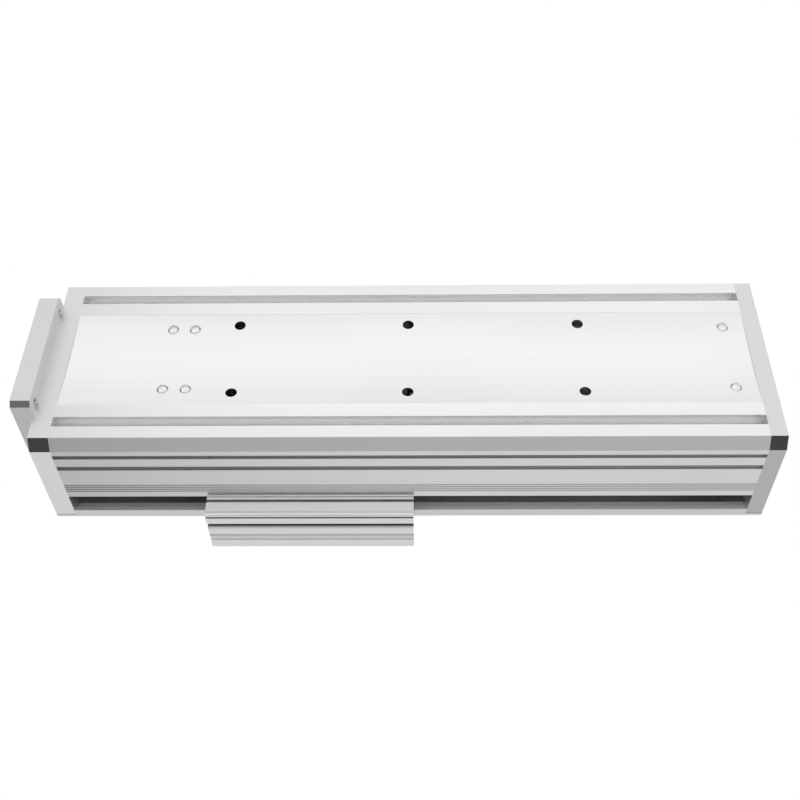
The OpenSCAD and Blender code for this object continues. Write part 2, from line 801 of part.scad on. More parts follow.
module floating_support() {
  color("dimgray") difference() {
    bar(float_near_face, float_len) support_outline(support_top_w);
    turned(float_near_face - e, float_len + 2 * e, seal_bore_d);
    turned(float_bearing_x, float_len, float_bearing[1]);
    at_support_screws(float_mid, [0], floor_t - e) support_screw_hole();
    at_buffers(float_near_face) rotate([0, 180, 0]) translate([0, 0, -2])
      cylinder(h = 2 + e, d = 4 + 2 * fit_gap);
  }
}

module floating_outer_ring() {
  color("silver") translate([float_bearing_x, 0, axis_z]) along_x() outer_ring(float_bearing);
}

module floating_inner_ring() {
  color("silver") translate([float_bearing_x, 0, axis_z]) along_x() inner_ring(float_bearing);
}

module floating_bearing_balls() {
  color("white") translate([float_bearing_x, 0, axis_z]) along_x() bearing_balls(float_bearing, 8);
}

// Places its children on the two stop buffers of a support, with +Z pointing along +X
module at_buffers(x) {
  for (s = [-1, 1]) translate([x, s * buffer_y, buffer_z]) along_x() children();
}

module buffer() {
  cylinder(h = buffer_t, d = buffer_d);
  translate([0, 0, -2]) cylinder(h = 2 + e, d = 4);
}

module motor_end_buffers() { color("black") at_buffers(fixed_screw_face) buffer(); }

module far_end_buffers() {
  color("black") at_buffers(float_near_face) rotate([0, 180, 0]) buffer();
}

// ---- Ball screw line ----

module ball_screw() {
  drive_end = screw_hub_x;
  color("silver") difference() {
    union() {
      turned(drive_end, lock_nut_x - drive_end + e, end_journal_d);
      turned(lock_nut_x, collar_end - lock_nut_x + e, fixed_journal_d);
      turned(collar_end, float_bearing_x - collar_end, screw_d);
      turned(float_bearing_x - e, circlip_x - float_bearing_x + circlip_t + float_tail + e, end_journal_d);
    }
    turned(circlip_x, circlip_t, end_journal_d + 2, circlip_groove_d);
  }
}

module shaft_collars() {
  color("gray") {
    turned(pair_end, collar_end - pair_end, collar_d, fixed_journal_d);
    turned(pair_x - drive_collar_len, drive_collar_len, collar_d, fixed_journal_d);
  }
}

module lock_nut() {
  color("gray") translate([lock_nut_x, 0, axis_z]) along_x() difference() {
    cylinder(h = lock_nut_len, d = lock_nut_flats * 1.155, $fn = 6);
    translate([0, 0, -e]) cylinder(h = lock_nut_len + 2 * e, d = fixed_journal_d);
    translate([0, 0, lock_nut_len / 2]) rotate([-90, 0, 0]) cylinder(h = lock_nut_flats, d = 4);
  }
}

module lock_nut_set_screw() {
  color("black") translate([lock_nut_x + lock_nut_len / 2, 0, axis_z]) rotate([-90, 0, 0]) difference() {
    translate([0, 0, fixed_journal_d / 2 + fit_gap]) cylinder(h = 3, d = 4);
    translate([0, 0, fixed_journal_d / 2 + 1.6]) cylinder(h = 3, d = 2.3, $fn = 6);
  }
}

module floating_circlip() {
  color("dimgray") difference() {
    turned(circlip_x, circlip_t, end_journal_d + 5, circlip_groove_d);
    translate([circlip_x - e, -1.6, axis_z]) cube([circlip_t + 2 * e, 3.2, end_journal_d]);
  }
}

// ---- Shaft coupling ----

// A piece of a ring between two radii, spread evenly about an angle
module ring_sector(r_in, r_out, angle, spread) {
  far = 2 * r_out;
  a = angle - spread / 2;
  b = angle + spread / 2;
  intersection() {
    difference() {
      circle(r = r_out);
      circle(r = r_in);
    }
    polygon([[0, 0], [far * cos(a), far * sin(a)], [far * cos(b), far * sin(b)]]);
  }
}

clamp_seat = 4;
jaw_in = 10;
jaw_spread = 38;
arm_spread = 20;

// A hub built along +Z from its outer end, with its three jaws above hub_len
module coupling_hub(bore) {
  r = coupling_d / 2;
  difference() {
    union() {
      cylinder(h = hub_len, r = r);
      for (i = [0:2]) translate([0, 0, hub_len - e]) linear_extrude(jaw_room - 0.4 + e)
        ring_sector(jaw_in, r - 0.3, i * 120, jaw_spread);
    }
    translate([0, 0, -e]) cylinder(h = hub_len + 2 * e, d = bore);
    translate([0, -0.8, -e]) cube([r + e, 1.6, hub_len - 2]);
    at_clamp_screw() {
      translate([0, 0, -r]) cylinder(h = r, d = m4[0] + 2 * fit_gap);
      translate([0, 0, -e]) cylinder(h = clamp_seat + 2 * e, d = m4[4]);
      translate([0, 0, clamp_seat]) cylinder(h = r, d = m4[5]);
    }
  }
}

// The clamp screw crosses the slit beside the bore, with +Z pointing at its head
module at_clamp_screw() {
  translate([(coupling_d + motor_shaft_d) / 4 - 0.4, 0, hub_len * 0.45]) rotate([-90, 0, 0]) children();
}

module screw_coupling_hub() {
  color("silver") translate([screw_hub_x + hub_len, 0, axis_z]) rotate([0, -90, 0])
    coupling_hub(end_journal_d);
}

module motor_coupling_hub() {
  color("silver") translate([motor_hub_x, 0, axis_z]) along_x() coupling_hub(motor_shaft_d);
}

module coupling_spider() {
  r = coupling_d / 2 - 0.8;
  color("firebrick") translate([motor_hub_x + hub_len + 0.5, 0, axis_z]) along_x()
    linear_extrude(jaw_room - 1) {
      difference() {
        circle(r = jaw_in - 0.2);
        circle(r = motor_shaft_d / 2 + 0.6);
      }
      for (i = [0:5]) ring_sector(jaw_in - 0.5, r, 30 + i * 60, arm_spread);
    }
}

module clamp_screw() {
  at_clamp_screw() translate([0, 0, clamp_seat]) cap_screw(m4, clamp_seat + coupling_d / 4);
}

module coupling_clamp_screws() {
  color("black") {
    translate([screw_hub_x + hub_len, 0, axis_z]) rotate([0, -90, 0]) clamp_screw();
    translate([motor_hub_x, 0, axis_z]) along_x() clamp_screw();
  }
}

// ---- Carriage ----

// Section of the saddle plate: flat, with a rounded lower edge, a thin groove in the side face
// and a narrow groove under each wing
module saddle_section() {
  w = carriage_w / 2;
  round_r = 1.6;
  relief_in = 10.6;
  difference() {
    union() {
      translate([-w, saddle_z + round_r]) square([carriage_w, saddle_t - round_r]);
      translate([-w + round_r, saddle_z]) square([carriage_w - 2 * round_r, saddle_t]);
      both_sides() translate([w - round_r, saddle_z + round_r]) circle(r = round_r);
    }
    both_sides() {
      translate([w - 1, saddle_z + 2]) square([1 + e, 1.6]);
      translate([w - relief_in, saddle_z - e]) square([1.7, 1.2 + e]);
    }
  }
}

module saddle_plate() {
  under_head = saddle_t - m5[2] - head_sink;
  color("gainsboro") difference() {
    union() {
      bar(carriage_x - carriage_len / 2, carriage_len) saddle_section();
      for (s = [-1, 1])
        translate([carriage_x + s * (carriage_len - stop_lug_len) / 2, 0, saddle_z - stop_lug_drop / 2 + e])
          cube([stop_lug_len, stop_lug_w, stop_lug_drop + 2 * e], center = true);
    }
    translate([nut_face - 1, -relief_w / 2, saddle_z - e])
      cube([nut_flange_t + 2, relief_w, relief_depth + e]);
    at_block_screws() translate([0, 0, -saddle_t]) cylinder(h = saddle_t + e, d = m4[4]);
    at_block_screws() cylinder(h = saddle_t, d = m4[5]);
    at_housing_screws() translate([0, 0, -saddle_t]) cylinder(h = saddle_t + e, d = m5[4]);
    at_housing_screws() cylinder(h = saddle_t, d = m5[5]);
    at_table_screws(saddle_top) screw_hole(m5, table_screw_grip, 0, 0);
  }
}

module at_table_screws(z) {
  for (x = table_screw_x, s = [-1, 1]) translate([carriage_x + x, s * table_screw_y, z]) children();
}

module at_housing_screws() {
  seat = saddle_top - m5[2] - head_sink;
  translate([carriage_x, 0, seat]) at_corners(2 * housing_screw_x, 2 * housing_screw_y) children();
}

module nut_housing_screws() {
  color("dimgray") at_housing_screws() cap_screw(m5, saddle_t - m5[2] - head_sink + housing_screw_grip);
}

// Section of the right-hand spacer; its outer face is stepped in below and bevelled above that
module spacer_section() {
  w = carriage_w / 2;
  foot = w - spacer_step;
  step_h = 3.6;
  polygon([[w - spacer_w, saddle_top], [foot, saddle_top], [foot, saddle_top + step_h],
           [w - 1.2, saddle_top + step_h], [w, saddle_top + step_h + 1.2], [w, table_z],
           [w - spacer_w, table_z]]);
}

module spacer(side) {
  color("gainsboro") difference() {
    bar(carriage_x - carriage_len / 2, carriage_len)
      if (side > 0) spacer_section();
      else mirror([1, 0]) spacer_section();
    at_table_screws(saddle_top - e) cylinder(h = table_z - saddle_top + 2 * e, d = m5[4]);
  }
}

module left_side_spacer() { spacer(1); }
module right_side_spacer() { spacer(-1); }

// Section of the table plate: square edges with a shallow and a deep groove in the side face
module table_section() {
  w = carriage_w / 2;
  difference() {
    translate([-w, table_z]) square([carriage_w, table_t]);
    both_sides() {
      translate([w - 1, table_z - e]) square([1 + e, 0.8 + e]);
      translate([w - 0.5, table_z]) square([0.5 + e, 4.4]);
      translate([w - 1.4, table_z + 4.3]) square([1.4 + e, 1.6]);
      polygon([[w - 0.6, table_top + e], [w + e, table_top - 0.6], [w + e, table_top + e]]);
    }
  }
}

module table_plate() {
  seat = table_t - m5[2] - head_sink;
  color("gainsboro") difference() {
    bar(carriage_x - carriage_len / 2, carriage_len) table_section();
    at_table_screws(table_z - e) cylinder(h = table_t + 2 * e, d = m5[4]);
    at_table_screws(table_z + seat) cylinder(h = table_t, d = m5[5]);
    translate([carriage_x, 0, table_z - e]) at_corners(table_pitch_x, table_pitch_y)
      cylinder(h = table_t + 2 * e, d = table_hole_d);
  }
}

module table_screws() {
  seat = table_t - m5[2] - head_sink;
  reach = seat + table_z - saddle_top + table_screw_grip - 0.5;
  color("silver") at_table_screws(table_z + seat) cap_screw(m5, reach);
}

// ---- Ball nut and its housing ----

// The ball nut: a flanged sleeve, flange against the housing, body reaching back towards the motor
module ball_nut() {
  color("lightslategray") difference() {
    union() {
      turned(nut_face - nut_body_len, nut_body_len + e, nut_d);
      intersection() {
        turned(nut_face, nut_flange_t, nut_flange_d);
        translate([nut_face - e, -nut_flange_d, axis_z - nut_flats / 2])
          cube([nut_flange_t + 2 * e, 2 * nut_flange_d, nut_flats]);
      }
    }
    turned(nut_face - nut_body_len - e, nut_body_len + nut_flange_t + 2 * e, screw_d + 2 * running_gap);
    turned(nut_face - nut_body_len - e, wiper_t + e, wiper_d);
    turned(nut_face + nut_flange_t - wiper_t, wiper_t + e, wiper_d);
    at_nut_screws(nut_face) translate([0, 0, -e]) cylinder(h = nut_flange_t + 2 * e, d = m5[4]);
    at_nut_screws(nut_face + nut_flange_t - m5[2]) cylinder(h = nut_flange_t, d = m5[5]);
  }
}

// Places its children on the nut's screws, with +Z pointing along +X
module at_nut_screws(x) {
  translate([x, 0, axis_z]) along_x() for (a = nut_screw_angles)
    rotate(a + 90) translate([nut_pcd / 2, 0, 0]) children();
}

module nut_wipers() {
  color("white") for (x = [nut_face - nut_body_len, nut_face + nut_flange_t - wiper_t])
    turned(x, wiper_t, wiper_d - 2 * fit_gap, screw_d + 2 * running_gap);
}

module nut_flange_screws() {
  color("dimgray") at_nut_screws(nut_face + nut_flange_t - m5[2])
    cap_screw(m5, nut_flange_t - m5[2] + nut_screw_grip);
}

module nut_housing() {
  color("darkgray") difference() {
    translate([housing_x, -housing_w / 2, axis_z - housing_drop])
      cube([housing_len, housing_w, saddle_z - axis_z + housing_drop]);
    turned(housing_x - e, housing_len + 2 * e, nut_d + 2 * fit_gap);
    at_nut_screws(nut_face) translate([0, 0, -nut_screw_grip - 1])
      cylinder(h = nut_screw_grip + 1 + e, d = m5[0] + 2 * fit_gap);
    translate([carriage_x, 0, saddle_z]) at_corners(2 * housing_screw_x, 2 * housing_screw_y)
      screw_hole(m5, housing_screw_grip, 0, 0);
  }
}

base_extrusion();
motor_end_plate();
far_end_plate();
top_cover();
motor_flange();
cover_screws();
motor_plate_screws();
far_plate_screws();
motor_flange_screws();
left_guide_rail();
right_guide_rail();
rail_screws();
rail_hole_plugs();
fixed_support();
fixed_support_lid();
fixed_lid_screws();
fixed_outer_rings();
fixed_bearing_balls();
fixed_shaft_seals();
fixed_support_screws();
floating_support();
floating_outer_ring();
floating_bearing_balls();
floating_support_screws();
motor_end_buffers();
far_end_buffers();
ball_screw();
fixed_inner_rings();
shaft_collars();
lock_nut();
lock_nut_set_screw();
floating_inner_ring();
floating_circlip();
screw_coupling_hub();
coupling_spider();
motor_coupling_hub();
coupling_clamp_screws();
saddle_plate();
left_side_spacer();
right_side_spacer();
table_plate();
table_screws();
left_front_block();
left_rear_block();
right_front_block();
right_rear_block();
block_end_caps();
block_end_seals();
block_screws();
grease_nipples();
ball_nut();
nut_wipers();
nut_flange_screws();
nut_housing();
nut_housing_screws();
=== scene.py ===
# %% [markdown]
# # A ball screw linear module
#
# The module is a long aluminium housing that lies on its mounting face. Inside it a ball screw
# turns between two bearing supports and drives a carriage, which runs on two rails. The carriage
# leaves the housing through a slot in each side and carries a table above the cover.
#
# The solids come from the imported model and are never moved. This lesson gives every one of them
# a finish, and adds what the solids leave plain: the thread of the screw, the threads in tapped
# holes, knurled screw heads, and a studio to see it all in.

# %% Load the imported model
import json
import math

import bmesh
import bpy
from mathutils import Matrix, Vector

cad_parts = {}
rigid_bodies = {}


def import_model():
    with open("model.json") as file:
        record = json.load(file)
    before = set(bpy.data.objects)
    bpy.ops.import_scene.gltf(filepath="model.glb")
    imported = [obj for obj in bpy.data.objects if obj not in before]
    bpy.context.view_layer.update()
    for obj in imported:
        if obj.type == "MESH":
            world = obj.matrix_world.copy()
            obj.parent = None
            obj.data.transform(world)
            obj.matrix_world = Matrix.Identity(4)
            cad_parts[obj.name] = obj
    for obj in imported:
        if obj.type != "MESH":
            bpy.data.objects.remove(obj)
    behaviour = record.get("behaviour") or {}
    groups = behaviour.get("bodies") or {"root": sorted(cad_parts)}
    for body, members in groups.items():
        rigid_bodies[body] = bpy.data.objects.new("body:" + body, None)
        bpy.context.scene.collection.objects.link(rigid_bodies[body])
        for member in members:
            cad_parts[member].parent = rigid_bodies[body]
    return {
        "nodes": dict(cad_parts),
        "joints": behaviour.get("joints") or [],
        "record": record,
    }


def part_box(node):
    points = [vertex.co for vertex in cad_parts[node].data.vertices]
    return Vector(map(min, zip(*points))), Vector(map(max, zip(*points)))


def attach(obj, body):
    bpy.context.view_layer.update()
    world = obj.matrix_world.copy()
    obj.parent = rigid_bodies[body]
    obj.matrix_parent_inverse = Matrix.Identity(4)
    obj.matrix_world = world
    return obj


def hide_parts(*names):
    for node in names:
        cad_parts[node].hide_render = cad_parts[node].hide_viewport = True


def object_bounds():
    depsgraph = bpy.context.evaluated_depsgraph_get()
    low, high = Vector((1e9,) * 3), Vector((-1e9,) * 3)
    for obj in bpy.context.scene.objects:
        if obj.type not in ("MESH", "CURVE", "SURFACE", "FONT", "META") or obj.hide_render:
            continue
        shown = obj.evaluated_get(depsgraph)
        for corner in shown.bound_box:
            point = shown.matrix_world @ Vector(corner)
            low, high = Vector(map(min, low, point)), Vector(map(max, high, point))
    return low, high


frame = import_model()
cad_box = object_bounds()
nodes = frame["nodes"]
record = frame["record"]
MM = 0.001
print("nodes:", len(nodes), "box in mm:", [[round(v / MM, 1) for v in p] for p in cad_box])

# %% [markdown]
# ## Places to hang things on
#
# Where a size is in the model, it is read from there and not typed again. A mount in the record
# gives a point and an axis, and a node's box gives its corners. The screw's axis is the joint
# that it turns about, and its lead is how far the carriage goes in one turn.

# %% Read the main places
mounts = {mount["name"]: mount for mount in record["mounts"]}
joints = {joint["name"]: joint for joint in frame["joints"]}
axis_z = joints["screw_spin"]["pos_m"][2]
lead = 2 * math.pi / abs(record["behaviour"]["couplings"][0]["ratio"])


def low(node):
    """The corner of a node's box where X, Y and Z are smallest."""
    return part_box(node)[0]


def high(node):
    """The corner where they are largest."""
    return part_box(node)[1]


print("screw axis at", round(axis_z / MM, 2), "mm, lead", round(lead / MM, 2), "mm")

# %% [markdown]
# ## The view
#
# The module is seen from the side of its mounting face, with that face turned up, as it lies on
# a bench before it is bolted down. So the camera stands below the model and is rolled over,
# which leaves the model in its own frame. A camera looks along its own -Z, so its matrix has the
# right-hand direction, the upward one and the one behind it as columns.

# %% Place the camera
CAMERA_PLACE = Vector((9.2, 440.4, -492.9)) * MM
CAMERA_AHEAD = Vector((-0.0198, -0.6375, 0.7702)).normalized()
CAMERA_RIGHT = Vector((0.9998, -0.0098, 0.0176)).normalized()
SENSOR_WIDTH = 36.0
# The focal length and the sideways shift of the lens, as shares of the sensor's width
FOCAL_SHARE = 1.4275
SHIFT_SHARE = -0.00175


def new_object(name, data):
    made = bpy.data.objects.new(name, data)
    bpy.context.scene.collection.objects.link(made)
    return made


camera_data = bpy.data.cameras.new("camera")
camera = new_object("camera", camera_data)
camera_data.sensor_width = SENSOR_WIDTH
camera_data.lens = FOCAL_SHARE * SENSOR_WIDTH
camera_data.shift_x = SHIFT_SHARE
camera_data.clip_start = 0.01
camera_data.clip_end = 50
upward = CAMERA_RIGHT.cross(CAMERA_AHEAD).normalized()
rightward = CAMERA_AHEAD.cross(upward)
turn = Matrix((rightward, upward, -CAMERA_AHEAD)).transposed()
camera.matrix_world = Matrix.Translation(CAMERA_PLACE) @ turn.to_4x4()
bpy.context.scene.camera = camera
bpy.context.scene.view_settings.view_transform = "Standard"
print("camera at", [round(v, 3) for v in camera.location], "lens", round(camera_data.lens, 1))

# %% [markdown]
# ## Shader sums that read like sums
#
# A finish is a small network of nodes. Written one node at a time it is hard to read, so `Wire`
# wraps a socket and turns `+`, `-`, `*` and `/` into Math nodes. Most of a finish is a question
# of where a point lies, so a wire can also say whether it is above an edge, below one or near a
# value. Each answer is 0 or 1 with a smooth step between, because a hard edge would flicker.

# %% A socket that can be reckoned with
class Wire:
    """A socket that can be added, subtracted, multiplied and divided."""

    def __init__(self, finish, socket):
        self.finish = finish
        self.socket = socket

    def __add__(self, other):
        return self.finish.maths("ADD", self, other)

    def __radd__(self, other):
        return self.finish.maths("ADD", other, self)

    def __sub__(self, other):
        return self.finish.maths("SUBTRACT", self, other)

    def __rsub__(self, other):
        return self.finish.maths("SUBTRACT", other, self)

    def __mul__(self, other):
        return self.finish.maths("MULTIPLY", self, other)

    def __rmul__(self, other):
        return self.finish.maths("MULTIPLY", other, self)

    def __truediv__(self, other):
        return self.finish.maths("DIVIDE", self, other)

    def __rtruediv__(self, other):
        return self.finish.maths("DIVIDE", other, self)

    def power(self, other):
        return self.finish.maths("POWER", self, other)

    def size(self):
        return self.finish.maths("ABSOLUTE", self)

    def above(self, edge, blur):
        """0 below edge - blur, 1 above edge + blur, and a smooth step between."""
        sockets = {0: self, 1: edge - blur, 2: edge + blur, 3: 0.0, 4: 1.0}
        return self.finish.node("MapRange", {"interpolation_type": "SMOOTHSTEP"}, sockets)

    def below(self, edge, blur):
        """1 below edge and 0 above it, with the same step."""
        return (self * -1.0 + edge).above(0.0, blur)

    def near(self, middle, half, blur):
        """1 within half of middle and 0 beyond it, with the same step at both ends."""
        return (self - middle).size().below(half, blur)


print("wires ready")

# %% [markdown]
# ## One material, and one way to add a node
#
# `Nodes` holds a node tree. Its `node` method adds any node: the settings are set first, because
# some of them decide which sockets the node has, and then the sockets get their values or wires.
# `Finish` is a node tree with a principled shader at its end. Everything is placed by the part's
# own coordinates, so a pattern stays on its piece wherever the piece goes.

# %% The node tree and the finish
class Nodes:
    """A node tree, with short ways to add the nodes that the finishes use."""

    def __init__(self, tree):
        self.tree = tree

    def feed(self, node, sockets):
        for key, value in sockets.items():
            socket = node.inputs[key]
            if isinstance(value, Wire):
                self.tree.links.new(value.socket, socket)
            elif isinstance(value, (tuple, list)) and socket.type == "RGBA":
                socket.default_value = (*value, 1.0)[:4]
            else:
                socket.default_value = value

    def node(self, kind, settings=None, sockets=None, out=0):
        made = self.tree.nodes.new("ShaderNode" + kind)
        for key, value in (settings or {}).items():
            setattr(made, key, value)
        self.feed(made, sockets or {})
        return Wire(self, made.outputs[out])

    def maths(self, operation, a, b=0.0):
        return self.node("Math", {"operation": operation}, {0: a, 1: b})

    def split(self, vector):
        made = self.tree.nodes.new("ShaderNodeSeparateXYZ")
        self.feed(made, {0: vector})
        return [Wire(self, output) for output in made.outputs]

    def place(self):
        """Where a point lies in the part's own frame, in metres."""
        return self.node("TexCoord", out="Object")

    def facing(self):
        """Which way a point's own flat face looks, split into X, Y and Z."""
        return self.split(self.node("NewGeometry", out="True Normal"))

    def stretched(self, x, y, z):
        """The point with each axis scaled, which draws a pattern out along the small ones."""
        sockets = {0: self.place(), 1: (x, y, z)}
        return self.node("VectorMath", {"operation": "MULTIPLY"}, sockets)

    def unit(self, vector):
        return self.node("VectorMath", {"operation": "NORMALIZE"}, {0: vector})

    def noise(self, vector, detail, roughness=0.5):
        sockets = {"Vector": vector, "Scale": 1.0, "Detail": detail, "Roughness": roughness}
        return self.node("TexNoise", None, sockets)

    def mixed(self, factor, a, b):
        sockets = {"Factor": factor, 6: a, 7: b}
        return self.node("Mix", {"data_type": "RGBA"}, sockets, out=2)

    def rays(self, *kinds):
        """For each kind of ray, 1 where the surface is reached by such a ray and 0 elsewhere."""
        path = self.tree.nodes.new("ShaderNodeLightPath")
        return [Wire(self, path.outputs["Is %s Ray" % kind]) for kind in kinds]

    def shown(self, wire):
        """Makes a wire the surface that the tree shows."""
        self.feed(self.tree.nodes["Material Output"], {"Surface": wire})


class Finish(Nodes):
    """A material: a node tree that ends in a principled shader."""

    def __init__(self, name, **constants):
        self.material = bpy.data.materials.new(name)
        self.material.use_nodes = True
        super().__init__(self.material.node_tree)
        self.shader = self.tree.nodes["Principled BSDF"]
        self.feed(self.shader, constants)

    def bumped(self, height, distance, strength, under=None):
        sockets = {"Height": height, "Distance": distance, "Strength": strength}
        if under is not None:
            sockets["Normal"] = under
        return self.node("Bump", None, sockets)

    def paint(self, **sockets):
        self.feed(self.shader, {key.replace("_", " "): value for key, value in sockets.items()})
        return self.material


def grey(value, warmth=0.0):
    return (value * (1 + warmth), value, value * (1 - warmth))


print("finish helpers ready")

# %% [markdown]
# ## Clear anodised aluminium
#
# Most of the module is clear anodised aluminium. It is a satin metal: the etch before anodising
# leaves a fine even matt, and an extruded profile also keeps faint lines from the die along its
# length. So the finish has three scales: long soft streaks, a fine matt grain, and slow
# clouding that keeps a wide face from looking like one flat tone. The lines run along X, so the
# pattern is scaled far less along X than across it.
#
# Four things vary from piece to piece. Bevels that lean outwards can be rougher or smoother
# than the rest. The upright sides of an end plate or of the flange get a painted light or shade
# of their own at each end. A piece may have places of painted light, pale and less metallic, and
# places of painted shade. And it may have a form, which is a normal that is worked out and not
# taken from the mesh.

# %% Anodised aluminium
DIE_LINES = (3, 900, 900)
DIE_BANDS = (1.2, 130, 130)
MATT_GRAIN = (5200, 5200, 5200)
CLOUDING = (9, 14, 14)
TONE_SPREAD = 0.035
# The grey of painted light, and the share of tone and the roughness of painted shade
PAINTED_LIGHT_TONE = 0.97
PAINTED_SHADE_TONE = 0.2
PAINTED_SHADE_MATT = 0.55


def with_painted_sides(finish, colour, sides):
    """Painted light or shade on upright sides: one tone at the motor's end and one at the far
    end.
    """
    upright = finish.facing()[1].size().above(0.94, 0.03)
    far_end = finish.split(finish.place())[0].above(0.0, 100 * MM)
    motor_painted_tone, far_painted_tone = sides
    colour = finish.mixed(upright * (1.0 - far_end), colour, grey(motor_painted_tone))
    return finish.mixed(upright * far_end, colour, grey(far_painted_tone))


def anodised(name, tone, matt, streaks, bevel_matt=None, sides=None, light_and_shade=None, form=None):
    """Tone is the grey of the metal, matt its roughness and streaks the strength of its lines."""
    finish = Finish(name, Metallic=1.0)
    lines = finish.noise(finish.stretched(*DIE_LINES), detail=3.0)
    bands = finish.noise(finish.stretched(*DIE_BANDS), detail=2.0)
    grain = finish.noise(finish.stretched(*MATT_GRAIN), detail=2.0)
    cloud = finish.noise(finish.stretched(*CLOUDING), detail=3.0)
    shade = 0.5 + (lines - 0.5) * streaks + (bands - 0.5) * streaks + (cloud - 0.5) * 0.5
    dark, light = tone * (1 - TONE_SPREAD), min(1.0, tone * (1 + TONE_SPREAD))
    colour = finish.mixed(shade, grey(dark, -0.004), grey(light, -0.004))
    rough = matt + (cloud - 0.5) * 0.05 + (lines - 0.5) * 0.06 * streaks
    if bevel_matt is not None:
        leans = finish.facing()
        cut = leans[1].size().above(0.5, 0.05) * leans[2].size().above(0.35, 0.05)
        rough = rough * (1.0 - cut) + cut * bevel_matt
    # Painted light or shade on the upright sides
    if sides is not None:
        colour = with_painted_sides(finish, colour, sides)
    under = form(finish) if form is not None else None
    relief = finish.bumped(lines * streaks + grain * 0.6, 0.004 * MM, 0.5, under)
    if light_and_shade is not None:
        painted_light, painted_shade = light_and_shade(finish)
        # Painted light makes a place pale long before it loses its shine; painted shade darkens
        # it
        colour = finish.mixed(painted_light * 3.0, colour, grey(PAINTED_LIGHT_TONE))
        colour = finish.mixed(painted_shade, colour, grey(tone * PAINTED_SHADE_TONE))
        rough = rough * (1.0 - painted_shade) + painted_shade * PAINTED_SHADE_MATT
        finish.paint(Metallic=1.0 - painted_light * 0.95)
    return finish.paint(Base_Color=colour, Roughness=rough, Normal=relief)


print("anodising ready, with lines stretched by", DIE_LINES)

# %% [markdown]
# ## Bands along a profile
#
# An extruded profile is the same all along its length, so a groove in it is a band of heights or
# of widths, and nothing needs painting by hand. Each groove gets a painted shade, darker than the
# face beside it. A band has a middle, a half width and a depth of shade. One more value runs the
# other way: a painted shade that darkens the metal a little towards the motor.

# %% Bands and the slow change along the length
BAND_BLUR = 0.12
# The painted shade grows from this place on X towards the motor, over this length, both in mm
MOTOR_SHADE_FROM = 60
MOTOR_SHADE_LENGTH = 260


def banded(value, bands):
    """A sum of soft bands, each given by its middle and half width in mm and its depth."""
    parts = [value.near(middle * MM, half * MM, BAND_BLUR * MM) * depth
             for middle, half, depth in bands]
    return sum(parts[1:], parts[0])


def toward_motor(finish):
    """0 in the far third of the module, rising to nearly 1 at the motor's end."""
    x = finish.split(finish.place())[0]
    return finish.maths("MAXIMUM", (x * -1.0 + MOTOR_SHADE_FROM * MM) / (MOTOR_SHADE_LENGTH * MM), 0.0)


# Where the painted shade towards the motor begins and ends
print("the film thickens from x =", MOTOR_SHADE_FROM, "to", MOTOR_SHADE_FROM - MOTOR_SHADE_LENGTH, "mm")

# %% [markdown]
# ## The base profile
#
# The base has three kinds of painted place: the chambers of its two T-slots, which get painted
# light, and two grooves in each side and a serrated strip above them whose four fine lines stand
# 2 mm apart, which get painted shade. A sine wave along the height draws those lines at their own
# pitch. A painted shade towards the motor comes on top, on the sides and, more weakly, on the
# lands.

# %% Where the base gets painted light and shade
# Middle height and half width in mm, and the depth of shade
SIDE_GROOVES = [(13.05, 1.6, 0.45), (23.3, 1.9, 0.40)]
SERRATION = [(42.4, 3.6, 0.34)]
# How far in from the outermost face a side's grooves may reach
SIDE_SKIN = 3.0
CHAMBER_HALF = 6.0
CHAMBER_HEIGHTS = (0.5, 9.0)
# Painted light in the T-slot chambers
CHAMBER_PAINTED_LIGHT = 0.35
DISH_HALF = 34.7
MOTOR_SHADE_ON_SIDES = 0.31
MOTOR_SHADE_ON_LANDS = 0.19


def base_motor_shade(finish, side, z):
    """Painted shade towards the motor on the sides and bevels, and less on the lands by the dish.
    """
    thick = toward_motor(finish)
    outward = finish.facing()[1].size().above(0.5, 0.1)
    land = side.above(DISH_HALF * MM, 1.0 * MM) * (1.0 - z.above(0.5 * MM, 0.3 * MM))
    land = (1.0 - outward) * land
    return outward * thick.power(2.0) * MOTOR_SHADE_ON_SIDES + land * thick.power(4.0) * MOTOR_SHADE_ON_LANDS


def base_light_and_shade(finish):
    y, z = finish.split(finish.place())[1:]
    side = y.size()
    lowest, highest = CHAMBER_HEIGHTS
    in_slot = side.near(mounts["left_tslot"]["pos_m"][1], CHAMBER_HALF * MM, 0.1 * MM)
    chamber = in_slot * z.above(lowest * MM, 0.3 * MM) * z.below(highest * MM, 0.3 * MM)
    wall = high("base_extrusion").y
    outer = side.above(wall - SIDE_SKIN * MM, 0.1 * MM)
    set_in = side.below(wall - 0.25 * MM, 0.15 * MM)
    # Painted shade in the side grooves and on the serration's fine lines
    fine_lines = 1.0 - finish.maths("SINE", z * (math.pi / MM)) * 0.6
    grooves = outer * (banded(z, SIDE_GROOVES) * set_in + banded(z, SERRATION) * fine_lines)
    painted_shade = grooves + base_motor_shade(finish, side, z) * (1.0 - chamber)
    return chamber * CHAMBER_PAINTED_LIGHT, painted_shade


print("side grooves at", [groove[0] for groove in SIDE_GROOVES], "mm")

# %% [markdown]
# ## The dish in the mounting face
#
# The mounting face is dished: a shallow circular trough runs along it, so that only its two
# lands touch the bench. A wide slow curve like this shows every facet of a mesh in its
# highlight. The trough is an exact circle, so its normal can be worked out from the distance
# to the middle, and the mesh only has to give the outline.

# %% The exact normal of the dish
# How much deeper the middle is than the edges, and a height that is above all of the dish
DISH_DEPTH = 1.2
DISH_CEILING = 1.8


